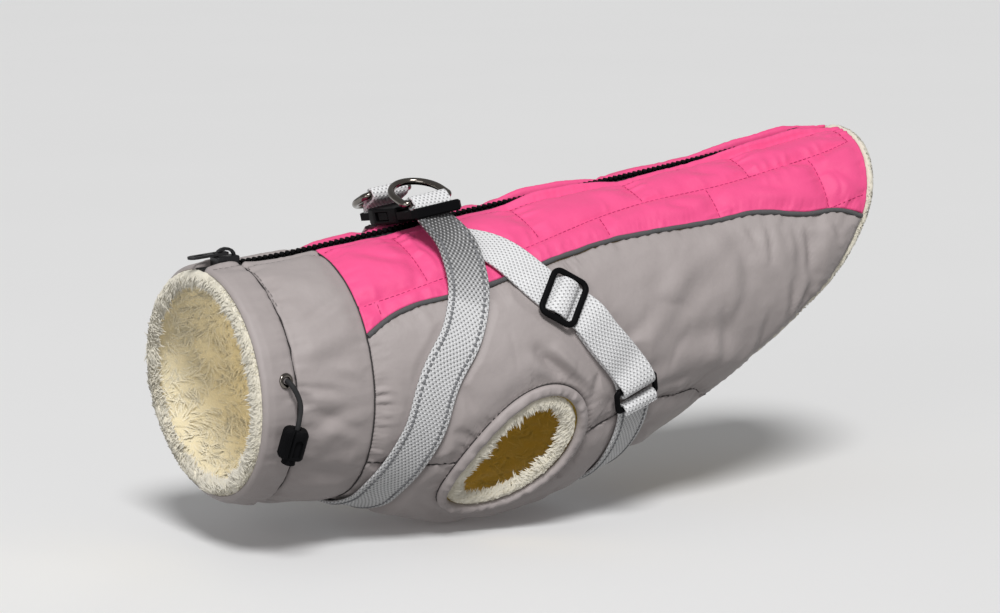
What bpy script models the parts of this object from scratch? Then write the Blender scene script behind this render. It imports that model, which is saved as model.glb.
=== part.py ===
"""Padded dog coat: a quilted back, soft flanks, a fleece lining, a back zip and a sewn-on harness.

+X runs from the neck to the tail, +Y to the dog's right and +Z up.  The origin is inside the top of the
back, under the harness rings, where the wearer's back holds the coat up.  Tables are in millimetres and
degrees.  A place on the coat is given by along, the distance from the neck edge, angle, which turns from the
middle of the back (0) over the left flank (90) to the middle of the belly (180), and lift, the height over
the body form.  Seams keep 0.3 mm between the pieces that meet there.
"""

import math

import bmesh
import bpy
import numpy as np
from mathutils import Matrix, Vector

MM = 0.001


def table(columns, *rows):
    """Rows of numbers as named columns."""
    return dict(zip(columns.split(), np.array(rows, dtype=float).T))


# ---------------------------------------------------------------- driving sizes (mm, degrees)

# The body form: sections down the back, from the neck edge to the tail.
SECTIONS = table(
    "along  top  depth  half_width",
    (0, 31.9, 110.5, 60.8),
    (22, 32.4, 114.2, 58.3),
    (62, 36.6, 121.7, 59.9),
    (110, 43.3, 142.2, 68.7),
    (165, 51.0, 147.1, 70.5),
    (225, 58.3, 133.1, 63.5),
    (290, 67.4, 115.8, 55.1),
    (365, 79.9, 99.1, 47.1),
)
LEAN = table("along degrees", (0, 2.2), (110, 1.5), (240, -0.7), (365, -0.7))
RIG_ALONG = 118.0  # the harness line: the buckle, the rings and the origin
BACK_WALL = 6.45  # from the body form to the origin on the wearer's back

SEAM_GAP = 0.3
SEAM_LIFT = -0.8  # the cloth where it is sewn down
WALL_INSIDE = -2.4  # inner face of the padded shell
LINING_OUT = -3.3
LINING_IN = -6.4
PUFF = 2.0  # how far the padding rises between seams
PUFF_REACH = 7.0

NECK_COLUMNS = 34  # places round the neck
CHANNEL_SEAM = 18.0  # the drawcord tunnel ends here
COLLAR_SEAM = 57.5
ZIP_HALF_GAP = 5.0
LINING_NECK = -2.5  # the fleece stands out of the neck and the hem
LINING_HEM = 4.5

PIPING = table(
    "along angle",
    (57, 65), (74, 56), (101, 51), (129, 48), (172, 44), (209, 44), (242, 48), (260, 50), (287, 54),
    (312, 63), (332, 68), (350, 79),
)
PIPING_RADIUS = 1.2
PIPING_LIFT = -1.0
PIPING_HALF_GAP = 1.9
PIPING_END = 346.0

BELLY_SEAM = table(
    "along angle",
    (-10, 126), (57, 126), (86, 124), (98, 121), (133, 120), (168, 117), (210, 116), (222, 120), (236, 125),
    (250, 132), (259, 146), (268, 165),
)
BELLY_SEAM_END = 258.5

HEM = table(
    "angle along",
    (0, 360), (30, 359), (60, 353), (75, 347), (90, 337), (100, 329), (110, 317), (120, 301), (130, 285),
    (140, 270), (150, 258), (160, 249), (170, 244), (180, 242),
)

# The armhole: an egg whose narrow end points down and forward.
ARMHOLE_ALONG = 131.9
ARMHOLE_ANGLE = 122.2
ARMHOLE_HALF_LENGTH = 38.5
ARMHOLE_HALF_WIDTH = 24.8
ARMHOLE_TAPER = 0.15
ARMHOLE_TURN = -49.5
CUFF_WIDTH = 5.0
CUFF_GAP = 0.6
LINING_INSET = 3.0
# Places on a belly seam in front of the armhole, round half of it and behind it.
SHELL_COLUMNS = (4, 17, 9)
LINING_COLUMNS = (5, 12, 8)
FLANK_MM_PER_DEGREE = 1.2566

# Quilting of the back: a long line, and cross lines in two staggered rows.
QUILT_LINE = table(
    "along angle",
    (50, 52), (72, 48), (108, 41), (150, 36), (194, 30), (234, 28), (264, 30), (322, 30), (342, 29),
    (365, 24),
)
QUILT_PITCH = 65.0
UPPER_ROW_START = 95.0
LOWER_ROW_START = 67.0
LAST_CROSS_LINE = 355.0

# The largest folds of the soft panels: a trough (-) or a ridge (+) between two places.
FLANK_FOLDS = table(
    "along angle along_end angle_end width depth",
    (66, 104, 72, 122, 5.0, -1.3),
    (80, 92, 92, 112, 6.0, 1.0),
    (176, 92, 206, 80, 5.0, -1.1),
    (178, 108, 214, 100, 6.0, -1.3),
    (214, 78, 250, 62, 7.0, 0.9),
    (262, 58, 276, 88, 6.0, -1.3),
    (300, 64, 306, 100, 6.0, -1.2),
    (322, 72, 318, 92, 5.0, 0.9),
    (226, 92, 262, 104, 7.0, -1.1),
    (240, 108, 268, 122, 7.0, 1.0),
)
BELLY_FOLDS = table(
    "along angle along_end angle_end width depth",
    (62, 142, 64, 176, 5.0, -1.2),
    (84, 150, 82, 180, 6.0, 1.2),
    (112, 160, 140, 172, 6.0, -1.0),
    (160, 158, 186, 146, 6.0, 1.1),
    (176, 172, 206, 164, 6.0, -1.2),
    (216, 140, 232, 166, 6.0, 1.0),
)
COLLAR_FOLDS = table(
    "along angle along_end angle_end width depth",
    (22, 70, 50, 62, 6.0, 0.8),
    (22, 104, 46, 96, 5.0, -1.0),
    (24, 128, 56, 134, 6.0, -1.0),
    (24, 152, 52, 148, 6.0, 0.9),
    (22, 168, 50, 176, 6.0, -0.9),
    (20, 30, 44, 36, 6.0, 0.6),
)

WEBBING_WIDTH = 20.0
WEBBING_THICKNESS = 1.4
STRAP_LIFT = 1.3  # middle of the webbing where it lies on the coat
UNDER_STRAP = -0.1

FRONT_STRAP = table(
    "along angle",
    (112, 21), (115, 30), (114, 40), (111, 51), (105.5, 62), (100, 70), (93, 78), (86, 90), (82, 104),
    (78, 115), (73, 130), (70, 142), (69, 154), (67, 167), (67, 180),
)
REAR_STRAP = table(
    "along angle",
    (112, 21), (121, 25.5), (131, 32), (143, 47), (154, 59), (165, 67), (173.5, 77), (181, 85),
    (187.5, 91.5), (192.4, 97.8), (195.8, 105.5),
)
BELLY_STRAP = table(
    "along angle", (195.8, 105.5), (198, 112), (199.5, 119), (200, 128), (200, 140), (200, 158), (200, 180)
)
# The straps come down from the buckle, the front one over the rear one: distance down the strap, lift.
# Left is the near side, where the buckle's frame stands higher.
FRONT_START = -1.5  # its end tucks in under the buckle's near bar
FRONT_DROP_LEFT = table(
    "run lift",
    (FRONT_START, 10.5), (0, 9.9), (7, 7.4), (14, 5.2), (22, 3.8), (33, 3.2), (46, 1.6), (55, STRAP_LIFT),
)
FRONT_DROP_RIGHT = table("run lift", (0, 3.1), (33, 3.1), (46, 1.6), (55, STRAP_LIFT))
REAR_DROP_LEFT = table("run lift", (0, 4.8), (5, 2.6), (10, 1.5), (16, STRAP_LIFT))
REAR_DROP_RIGHT = table("run lift", (0, STRAP_LIFT), (16, STRAP_LIFT))

# Slide adjuster on the rear strap, and the ring that joins it to the belly strap.
SLIDER_AT = 67.0  # run down the rear strap
SLIDER_LENGTH = 20.6
SLIDER_WIDTH = 27.0
SLIDER_BAR = 3.0
SLIDER_THICKNESS = 2.4
SLIDER_MIDDLE_BAR = 1.6
SLIDER_LIFT = 3.2
RING_LENGTH = 13.0
RING_WIDTH = 27.0
RING_WIRE = 1.4
RING_LIFT = 3.8
RING_SEAT = 0.5  # the straight ring sits this much lower than the webbing that curves over the flank

BUCKLE_LONG = 112.0  # middle of the buckle, along the back
BUCKLE_WIDTH = 27.0
BUCKLE_TILT = 8.0  # the far end lies lower than the near end
BUCKLE_LIFT = 2.4  # underside over the zip
BUCKLE_THICKNESS = 8.0
BUCKLE_NEAR_END = -30.0
BUCKLE_FAR_END = 32.0
BUCKLE_JOINT = -12.0  # the housing's mouth
BUCKLE_WALL = 1.6
BUCKLE_BAR = 3.6  # its webbing bars are this wide
NEAR_BAR_HEIGHT = 5.2
NEAR_BAR = BUCKLE_NEAR_END + BUCKLE_BAR / 2
FAR_BAR = BUCKLE_FAR_END - BUCKLE_BAR / 2
BUCKLE_BAR_STEP = 19.6  # the housing steps down to its bar here
CAVITY_END = 15.0
LOOP_FOOT = 2.4  # the ring loops' legs start and bend at these heights over the buckle's underside
LOOP_KNEE = 7.1

D_RING_WIRE = 1.7
D_RING_HALF_BAR = 12.4
D_RING_DEPTH = 23.5
D_RING_CORNER = 2.6
D_RING_SHOULDER = 8.0
# Ring bars over the crest of the back, and the way that the rings lean (degrees up from +Y).
LEFT_RING = {"across": -19.4, "height": 14.0, "lean": 15.0}
RIGHT_RING = {"across": 19.5, "height": 14.0, "lean": -22.0}

EYELET_PLACE = (11.5, 80.0)
CORD_RADIUS = 1.25
LOCK_PLACE = (11.5, 106.5)
LOCK_LIFT = 6.9
LOCK_ROLL = 25.0
LOCK_WIDTH = 11.5
LOCK_DEPTH = 9.0
LOCK_LENGTH = 14.0
CORD_HOLE_RADIUS = 1.7
CORD_HOLE_DEPTH = 6.8
PLUNGER_RADIUS = 3.3
PLUNGER_LENGTH = 6.0
PLUNGER_OUT = 3.2
PLUNGER_TRAVEL = 3.0
# From the eyelet to the lock, and then straight down the lock's hole (mm from its middle).
DRAWCORD = table(
    "along angle lift",
    (11.5, 80.0, 1.6), (11.6, 80.6, 3.0), (12.1, 81.9, 4.3), (13.2, 84.2, 5.0), (14.4, 87.0, 5.5),
    (15.0, 90.0, 6.0), (14.8, 93.0, 6.4), (14.0, 95.7, 6.7),
)
CORD_IN_LOCK = (-8.6, -6.6, -4.4, -2.2, -0.7)

ZIP_END = 342.0
ZIP_TAPE_HALF = 4.7
ZIP_TAPE_LIFTS = (-2.4, -1.5)
ZIP_CHAIN_HALF = 3.0
ZIP_CHAIN_LIFTS = (-1.2, 1.1)
ZIP_SLIDER_ALONG = 13.0
SLIDER_BODY_HEIGHT = 4.8
BRIDGE_RISE = 3.6
PULL_LENGTH = 19.0
PULL_WIDTH = 6.4
PULL_THICKNESS = 1.2
PULL_HINGE_HEIGHT = 3.7  # over the middle of the slider's body
PULL_DROOP = 3.0
PULL_EYE = (5.6, 3.2)
PULL_EYE_AT = 3.4
PULL_SLOT = (3.6, 1.5)  # half length and half width of the oval slot in the tab
PULL_SLOT_AT = 12.6

MATERIALS = {
    # name: (colour, roughness, metallic)
    "pink_nylon": ((0.90, 0.10, 0.33), 0.55, 0.0),
    "grey_nylon": ((0.40, 0.37, 0.37), 0.6, 0.0),
    "fleece": ((0.72, 0.66, 0.50), 0.95, 0.0),
    "piping": ((0.09, 0.09, 0.10), 0.5, 0.0),
    "webbing": ((0.55, 0.56, 0.57), 0.7, 0.0),
    "black_plastic": ((0.015, 0.015, 0.016), 0.4, 0.0),
    "zip_tape": ((0.02, 0.02, 0.02), 0.9, 0.0),
    "black_metal": ((0.03, 0.03, 0.03), 0.35, 0.8),
    "gunmetal": ((0.23, 0.21, 0.19), 0.2, 1.0),
    "black_cord": ((0.012, 0.012, 0.012), 0.8, 0.0),
}


# ---------------------------------------------------------------- curves and the body form


def spline(knots, values, at):
    """Natural cubic spline through the knots, read at any places, and straight past its ends."""
    at = np.asarray(at, dtype=float)
    step = np.diff(knots)
    slope = np.diff(values) / step
    count = len(knots)
    system = np.eye(count)
    bend = np.zeros(count)
    for i in range(1, count - 1):
        system[i, i - 1:i + 2] = step[i - 1], 2 * (step[i - 1] + step[i]), step[i]
        bend[i] = 6 * (slope[i] - slope[i - 1])
    second = np.linalg.solve(system, bend)
    inside = np.clip(at, knots[0], knots[-1])
    i = np.clip(np.searchsorted(knots, inside) - 1, 0, count - 2)
    past, left = inside - knots[i], knots[i + 1] - inside
    value = (
        (second[i] * left**3 + second[i + 1] * past**3) / (6 * step[i])
        + (values[i] / step[i] - second[i] * step[i] / 6) * left
        + (values[i + 1] / step[i] - second[i + 1] * step[i] / 6) * past
    )
    end_slope = np.where(
        at < knots[0],
        slope[0] - step[0] * (2 * second[0] + second[1]) / 6,
        slope[-1] + step[-1] * (second[-2] + 2 * second[-1]) / 6,
    )
    return value + end_slope * (at - inside)


def read(rows, column, at, by="along"):
    """One column of a table, read smoothly at places of another column."""
    return spline(rows[by], rows[column], at)


def hem(angle):
    """Distance of the hem from the neck at an angle, the same on both flanks."""
    folded = 180 - np.abs(180 - np.mod(angle, 360))
    return read(HEM, "along", folded, by="angle")


def zip_edge(along):
    """Angle of a panel's edge beside the zip."""
    return np.degrees(np.arcsin(ZIP_HALF_GAP / read(SECTIONS, "half_width", along)))


CREST = float(read(SECTIONS, "top", RIG_ALONG))


def form(along, angle):
    """The body form in mm: an upright oval section hung from the back line at each distance along."""
    along, angle = np.broadcast_arrays(np.asarray(along, float), np.asarray(angle, float))
    turn = np.radians(angle)
    lean = np.radians(read(LEAN, "degrees", along))
    drop = read(SECTIONS, "depth", along) * (1 - np.cos(turn)) / 2
    x = along - RIG_ALONG + drop * np.sin(lean)
    y = -read(SECTIONS, "half_width", along) * np.sin(turn)
    z = read(SECTIONS, "top", along) - CREST + BACK_WALL - drop * np.cos(lean)
    return np.stack([x, y, z], axis=-1)


def slopes(along, angle):
    """The form's change for each mm along and for each degree round."""
    half = 0.5
    by_along = (form(np.add(along, half), angle) - form(np.subtract(along, half), angle)) / (2 * half)
    by_angle = (form(along, np.add(angle, half)) - form(along, np.subtract(angle, half))) / (2 * half)
    return by_along, by_angle


def surface(along, angle, lift=0.0):
    """A place on the coat in metres: the body form, moved out along its normal by lift."""
    by_along, by_angle = slopes(along, angle)
    normal = np.cross(by_angle, by_along)
    normal /= np.linalg.norm(normal, axis=-1, keepdims=True)
    return (form(along, angle) + normal * np.asarray(lift, dtype=float)[..., None]) * MM


def mm_per_degree(along, angle):
    return np.linalg.norm(slopes(along, angle)[1], axis=-1)


def mirrored(angle):
    """The same angle on the right flank."""
    return 360.0 - angle


# ---------------------------------------------------------------- making solids


def material(name):
    made = bpy.data.materials.get(name)
    if made:
        return made
    colour, roughness, metallic = MATERIALS[name]
    made = bpy.data.materials.new(name)
    made.use_nodes = True
    shader = made.node_tree.nodes["Principled BSDF"]
    shader.inputs["Base Color"].default_value = (*colour, 1.0)
    shader.inputs["Roughness"].default_value = roughness
    shader.inputs["Metallic"].default_value = metallic
    made.diffuse_color = (*colour, 1.0)
    return made


def add_mesh(name, shape, paint, place=None):
    """A bmesh as an object of the coat, its faces turned outwards."""
    if shape.calc_volume(signed=True) < 0:
        bmesh.ops.reverse_faces(shape, faces=shape.faces)
    mesh = bpy.data.meshes.new(name)
    shape.to_mesh(mesh)
    shape.free()
    mesh.materials.append(material(paint))
    mesh.shade_smooth()
    mesh.set_sharp_from_angle(angle=math.radians(40))
    piece = bpy.data.objects.new(name, mesh)
    if place is not None:
        piece.matrix_world = place
    bpy.context.scene.collection.objects.link(piece)
    return piece


def add_points(name, points, faces, paint):
    """A solid from points in metres and faces of point numbers."""
    shape = bmesh.new()
    corners = [shape.verts.new(point) for point in points.reshape(-1, 3)]
    for face in faces:
        shape.faces.new([corners[i] for i in face])
    return add_mesh(name, shape, paint)


def wall(name, along, angle, outer, inner, paint):
    """Cloth of some thickness: a grid of places lifted to its outer face and again to its inner face."""
    rows, columns = along.shape
    count = rows * columns
    outside = surface(along, angle, np.broadcast_to(outer, along.shape))
    inside = surface(along, angle, np.broadcast_to(inner, along.shape))
    number = np.arange(count).reshape(rows, columns)
    faces = []
    for i in range(rows - 1):
        for j in range(columns - 1):
            ring = [number[i, j], number[i + 1, j], number[i + 1, j + 1], number[i, j + 1]]
            faces.append(ring)
            faces.append([count + k for k in reversed(ring)])
    rim = [*number[:, 0], *number[-1, 1:], *number[-2::-1, -1], *number[0, -2:0:-1]]
    for a, b in zip(rim, rim[1:] + rim[:1]):
        faces.append([b, a, count + a, count + b])
    return add_points(name, np.concatenate([outside.reshape(-1, 3), inside.reshape(-1, 3)]), faces, paint)


def loft(name, sections, paint, closed=False):
    """A solid through sections of equal point counts: an open run gets end caps, a closed one joins up."""
    runs, sides = sections.shape[:2]
    faces = []
    for i in range(runs if closed else runs - 1):
        here, ahead = i * sides, (i + 1) % runs * sides
        for j in range(sides):
            k = (j + 1) % sides
            faces.append([here + j, ahead + j, ahead + k, here + k])
    if not closed:
        faces.append(list(range(sides)))
        faces.append(list(range((runs - 1) * sides, runs * sides))[::-1])
    return add_points(name, sections, faces, paint)


def coons(top, bottom, front, rear):
    """A grid of (along, angle) that fills four edges: top and bottom run backwards, front and rear down."""
    u = np.linspace(0, 1, len(top))[:, None, None]
    v = np.linspace(0, 1, len(front))[None, :, None]
    corners = (
        (1 - u) * (1 - v) * top[0] + u * (1 - v) * top[-1] + (1 - u) * v * bottom[0] + u * v * bottom[-1]
    )
    grid = (
        (1 - v) * top[:, None] + v * bottom[:, None] + (1 - u) * front[None] + u * rear[None] - corners
    )
    return grid[..., 0], grid[..., 1]


def edge(along, angle):
    """Places as rows of (along, angle)."""
    return np.stack(np.broadcast_arrays(np.asarray(along, float), np.asarray(angle, float)), axis=-1)


def hem_edge(start, end, count):
    """Places down the hem from one angle to another."""
    angle = np.linspace(start, end, count)
    return edge(hem(angle), angle)


# ---------------------------------------------------------------- seams, straps and the cloth between


def armhole(turn, grow=0.0):
    """The armhole's outline at a turn (radians) round it, grown outwards in the cloth by some mm."""
    tilt = math.radians(ARMHOLE_TURN)
    x = (ARMHOLE_HALF_LENGTH + grow) * np.cos(turn)
    y = (ARMHOLE_HALF_WIDTH + grow) * np.sin(turn) * (1 + ARMHOLE_TAPER * np.cos(turn))
    along = ARMHOLE_ALONG + x * math.cos(tilt) - y * math.sin(tilt)
    angle = ARMHOLE_ANGLE + (x * math.sin(tilt) + y * math.cos(tilt)) / FLANK_MM_PER_DEGREE
    return along, angle


def armhole_meets_seam(grow):
    """The turns at which the belly seam runs into the armhole, behind it and in front of it."""
    turn = np.linspace(0, 2 * math.pi, 1441)
    along, angle = armhole(turn, grow)
    below = angle > read(BELLY_SEAM, "angle", along)
    change = np.flatnonzero(below[1:] != below[:-1])
    return turn[change[0]], turn[change[-1]]


def flank_edge(start, grow, shift, upper, counts):
    """The belly seam from a start to the hem, round the upper or the lower side of the armhole.

    shift moves the seam's stretches up (-) or down (+) by some mm, and counts are the places on the seam in
    front of the armhole, round it and behind it.
    """
    rear, front = armhole_meets_seam(grow)
    turn = np.linspace(front, rear + (2 * math.pi if upper else 0), counts[1])
    round_along, round_angle = armhole(turn, grow)
    before = np.linspace(start, round_along[0], counts[0] + 1)[:-1]
    after = np.linspace(round_along[-1], BELLY_SEAM_END, counts[2] + 1)[1:]
    moved = shift / FLANK_MM_PER_DEGREE
    round_angle[[0, -1]] += moved
    return np.concatenate([
        edge(before, read(BELLY_SEAM, "angle", before) + moved),
        edge(round_along, round_angle),
        edge(after, read(BELLY_SEAM, "angle", after) + moved),
    ])


def flat_distance(along, angle, places):
    """Distance in the cloth (mm) from each place of a grid to the nearest of a list of places."""
    scale = FLANK_MM_PER_DEGREE
    gap_along = along[..., None] - places[:, 0]
    gap_angle = (angle[..., None] - places[:, 1]) * scale
    return np.sqrt(gap_along**2 + gap_angle**2).min(axis=-1)


def run_of(route):
    """Distance down a strap's middle line (mm) at each of its rows."""
    here = form(route["along"], route["angle"])
    return np.append(0, np.cumsum(np.linalg.norm(np.diff(here, axis=0), axis=1)))


def walk(route, run):
    """Place (along, angle) on a strap's middle line at distances down it."""
    knots = run_of(route)
    return spline(knots, route["along"], run), spline(knots, route["angle"], run)


def strap_places():
    """Places down the middle of every strap, on the left flank."""
    lines = []
    for route in (FRONT_STRAP, REAR_STRAP, BELLY_STRAP):
        lines.append(edge(*walk(route, np.arange(0, run_of(route)[-1], 3.0))))
    return np.concatenate(lines)


STRAP_PLACES = strap_places()


def folded(angle):
    """The left flank's angle for a place on either flank."""
    return 180 - np.abs(180 - angle)


def pressed(along, angle, lift):
    """Cloth flattened by the straps that lie on it."""
    away = flat_distance(along, folded(angle), STRAP_PLACES)
    ceiling = UNDER_STRAP + np.clip(away - 11.5, 0, None) * 0.35
    return np.minimum(lift, ceiling)


def fold_relief(along, angle, folds):
    """Troughs and ridges: each a bell across its line, fading at both ends."""
    scale = FLANK_MM_PER_DEGREE
    relief = np.zeros(along.shape)
    for k in range(len(folds["depth"])):
        start = np.array([folds["along"][k], folds["angle"][k] * scale])
        reach = np.array([folds["along_end"][k], folds["angle_end"][k] * scale]) - start
        place = np.stack([along, angle * scale], axis=-1) - start
        part = np.clip(place @ reach / (reach @ reach), 0, 1)
        away = np.linalg.norm(place - part[..., None] * reach, axis=-1)
        relief += folds["depth"][k] * np.exp(-((away / folds["width"][k]) ** 2))
    return relief


def grid_border(along, angle):
    """The places on the four edges of a grid."""
    places = edge(along, angle)
    return np.concatenate([places[0], places[-1], places[:, 0], places[:, -1]])


def padded(along, angle, folds):
    """Outer lift of a padded panel: sewn down at its edges, puffed between, with its folds."""
    away = flat_distance(along, angle, grid_border(along, angle))
    rise = 1 - np.exp(-((away / PUFF_REACH) ** 2))
    lift = SEAM_LIFT + rise * (PUFF + fold_relief(along, folded(angle), folds))
    return pressed(along, angle, lift)


# ---------------------------------------------------------------- cloth panels


def make_neck_band():
    """The drawcord tunnel round the neck, from one side of the zip to the other."""
    along = np.array([0.0, 5.5, 12.0, CHANNEL_SEAM - SEAM_GAP / 2])
    lift = np.array([-1.0, 0.6, 0.6, SEAM_LIFT])
    grid = np.meshgrid(along, np.linspace(0, 1, NECK_COLUMNS), indexing="ij")
    start = zip_edge(grid[0])
    wall("neck_band", grid[0], start + grid[1] * (360 - 2 * start), lift[:, None], WALL_INSIDE, "grey_nylon")


def make_collar():
    """The grey band between the tunnel and the body of the coat."""
    along = np.linspace(CHANNEL_SEAM + SEAM_GAP / 2, COLLAR_SEAM - SEAM_GAP / 2, 6)
    grid = np.meshgrid(along, np.linspace(0, 1, NECK_COLUMNS), indexing="ij")
    start = zip_edge(grid[0])
    angle = start + grid[1] * (360 - 2 * start)
    wall("collar", grid[0], angle, padded(grid[0], angle, COLLAR_FOLDS), WALL_INSIDE, "grey_nylon")


def quilt_lift(along, angle):
    """Outer lift of the quilted back: a puff in each cell between the stitched lines."""
    to_line = (angle - read(QUILT_LINE, "angle", along)) * FLANK_MM_PER_DEGREE
    start = np.where(to_line < 0, UPPER_ROW_START, LOWER_ROW_START)
    past = np.mod(along - start + QUILT_PITCH / 2, QUILT_PITCH) - QUILT_PITCH / 2
    border = flat_distance(along, angle, grid_border(along, angle))
    rise = np.ones(along.shape)
    for away in (np.abs(to_line), np.abs(past), border):
        rise *= 1 - np.exp(-((away / PUFF_REACH) ** 2))
    return pressed(along, angle, SEAM_LIFT + PUFF * rise)


def quilt_columns():
    """Distances along that put a column of the grid on each cross line and a few between."""
    start = COLLAR_SEAM + SEAM_GAP / 2
    lines = np.arange(LOWER_ROW_START, LAST_CROSS_LINE, QUILT_PITCH)
    stops = np.sort(np.concatenate([lines, np.arange(UPPER_ROW_START, LAST_CROSS_LINE + 1, QUILT_PITCH)]))
    columns = [start, (start + stops[0]) / 2]
    for a, b in zip(stops, stops[1:]):
        columns.extend(np.linspace(a, b, 4 if b - a > 30 else 3, endpoint=False))
    return np.array([*columns, stops[-1], hem(0)])


def make_saddle(side):
    """Half of the quilted back, from the zip to the piping."""
    top_along = quilt_columns()
    last_row = LAST_CROSS_LINE - (UPPER_ROW_START - LOWER_ROW_START)
    squeeze = (PIPING_END - last_row) / (hem(0) - last_row)
    low_along = np.where(top_along < last_row, top_along, last_row + (top_along - last_row) * squeeze)
    gap = PIPING_HALF_GAP / FLANK_MM_PER_DEGREE
    top = edge(top_along, zip_edge(top_along))
    bottom = edge(low_along, read(PIPING, "angle", low_along) - gap)
    rows = 9
    front = edge(top_along[0], np.linspace(top[0, 1], bottom[0, 1], rows))
    rear = hem_edge(top[-1, 1], bottom[-1, 1], rows)
    along, angle = coons(top, bottom, front, rear)
    lift = quilt_lift(along, angle)
    flank = angle if side == "left" else mirrored(angle)
    wall(f"saddle_{side}", along, flank, lift, WALL_INSIDE, "pink_nylon")


def side_grid(grow, shift, start, extra, top_gap, rows, counts):
    """A flank's grid, from the piping or the zip down to the belly seam and the armhole."""
    bottom = flank_edge(start, grow, -shift, True, counts)
    bottom[-1] += (extra, 0)
    pairs = np.cumsum([0, counts[0], counts[1] - 1, counts[2]])
    top_end = PIPING_END if top_gap is not None else float(hem(0))
    knots = np.array([start, 101.0, 178.0, top_end + extra])
    top_along = np.interp(np.arange(len(bottom)), pairs, knots)
    if top_gap is None:
        top_angle = np.full(len(bottom), SEAM_GAP / 2 / FLANK_MM_PER_DEGREE)
    else:
        top_angle = read(PIPING, "angle", top_along) + top_gap
    top = edge(top_along, top_angle)
    front = edge(start, np.linspace(top[0, 1], bottom[0, 1], rows))
    rear = hem_edge(top[-1, 1], bottom[-1, 1], rows)
    rear[:, 0] += extra
    rear[-1] = bottom[-1]
    return coons(top, bottom, front, rear)


def make_side(side):
    """A grey flank, from the piping to the belly seam and the upper edge of the armhole."""
    gap = PIPING_HALF_GAP / FLANK_MM_PER_DEGREE
    start = COLLAR_SEAM + SEAM_GAP / 2
    grow = CUFF_WIDTH + CUFF_GAP
    along, angle = side_grid(grow, SEAM_GAP / 2, start, 0.0, gap, 11, SHELL_COLUMNS)
    lift = padded(along, angle, FLANK_FOLDS)
    flank = angle if side == "left" else mirrored(angle)
    wall(f"side_{side}", along, flank, lift, WALL_INSIDE, "grey_nylon")


def belly_grid(grow, shift, start, extra, rows, counts):
    """The belly's grid: a half from the left seam to the middle, and its mirror."""
    seam = flank_edge(start, grow, shift, False, counts)
    seam[-1] += (extra, 0)
    pairs = np.cumsum([0, counts[0], counts[1] - 1, counts[2]])
    middle_end = float(hem(180)) + extra
    middle_along = np.interp(np.arange(len(seam)), pairs, [start, 88.0, 176.0, middle_end])
    middle = edge(middle_along, 180.0)
    front = edge(start, np.linspace(seam[0, 1], 180.0, rows))
    rear = hem_edge(seam[-1, 1], 180.0, rows)
    rear[:, 0] += extra
    rear[0], rear[-1] = seam[-1], middle[-1]
    along, angle = coons(seam, middle, front, rear)
    along = np.concatenate([along, along[:, -2::-1]], axis=1)
    angle = np.concatenate([angle, mirrored(angle[:, -2::-1])], axis=1)
    return along, angle


def make_belly():
    """The grey chest and belly panel between the two belly seams, with the armholes' lower halves."""
    start = COLLAR_SEAM + SEAM_GAP / 2
    along, angle = belly_grid(CUFF_WIDTH + CUFF_GAP, SEAM_GAP / 2, start, 0.0, 6, SHELL_COLUMNS)
    wall("belly", along, angle, padded(along, angle, BELLY_FOLDS), WALL_INSIDE, "grey_nylon")


def make_lining():
    """Fleece under the whole coat: two sides that meet under the zip, and the belly."""
    grow = -LINING_INSET
    along, angle = side_grid(grow, SEAM_GAP / 2, LINING_NECK, LINING_HEM, None, 10, LINING_COLUMNS)
    wall("lining_left", along, angle, LINING_OUT, LINING_IN, "fleece")
    wall("lining_right", along, mirrored(angle), LINING_OUT, LINING_IN, "fleece")
    along, angle = belly_grid(grow, SEAM_GAP / 2, LINING_NECK, LINING_HEM, 5, LINING_COLUMNS)
    wall("lining_belly", along, angle, LINING_OUT, LINING_IN, "fleece")


def make_piping(side):
    """The dark piping sewn in between the pink back and the grey flank."""
    along = np.linspace(COLLAR_SEAM + SEAM_GAP / 2, PIPING_END, 28)
    angle = read(PIPING, "angle", along)
    turn = np.linspace(0, 2 * math.pi, 6, endpoint=False)
    beside = PIPING_RADIUS * np.cos(turn) / mm_per_degree(along, angle)[:, None]
    lift = PIPING_LIFT + PIPING_RADIUS * np.sin(turn)
    across = angle[:, None] + beside
    flank = across if side == "left" else mirrored(across)
    lift = np.broadcast_to(lift, across.shape)
    loft(f"piping_{side}", surface(np.broadcast_to(along[:, None], across.shape), flank, lift), "piping")


def make_cuff(side):
    """The folded grey band that edges an armhole."""
    turn = np.linspace(0, 2 * math.pi, 38, endpoint=False)
    grow = np.array([0.0, 0.0, 1.2, CUFF_WIDTH - 1.2, CUFF_WIDTH, CUFF_WIDTH])
    lift = np.array([WALL_INSIDE, 0.6, 1.5, 1.2, 0.2, WALL_INSIDE])
    along, angle = armhole(turn[:, None], grow[None])
    flank = angle if side == "left" else mirrored(angle)
    sections = surface(along, flank, np.broadcast_to(lift, along.shape))
    loft(f"armhole_cuff_{side}", sections, "grey_nylon", closed=True)


# ---------------------------------------------------------------- the zip


def strip(name, start, end, half_width, lifts, paint, step=12.0):
    """A flat strip down the middle of the back."""
    along = np.linspace(start, end, int((end - start) / step) + 2)
    half = np.degrees(np.arcsin(half_width / read(SECTIONS, "half_width", along)))[:, None]
    side = np.array([-1.0, 1.0, 1.0, -1.0])
    lift = np.array([lifts[1], lifts[1], lifts[0], lifts[0]])
    angle = half * side
    along = np.broadcast_to(along[:, None], angle.shape)
    loft(name, surface(along, angle, np.broadcast_to(lift, angle.shape)), paint)


def local_place(along, angle, lift, course=(1.0, 0.0)):
    """A frame on the coat: X along a course given as steps in along and in angle, Z outwards."""
    by_along, by_angle = slopes(along, angle)
    out = Vector(np.cross(by_angle, by_along)).normalized()
    ahead = Vector(by_along * course[0] + by_angle * course[1])
    ahead = (ahead - out * ahead.dot(out)).normalized()
    beside = out.cross(ahead)
    place = Matrix((ahead, beside, out)).transposed().to_4x4()
    place.translation = Vector(surface(along, angle, lift))
    return place


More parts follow.
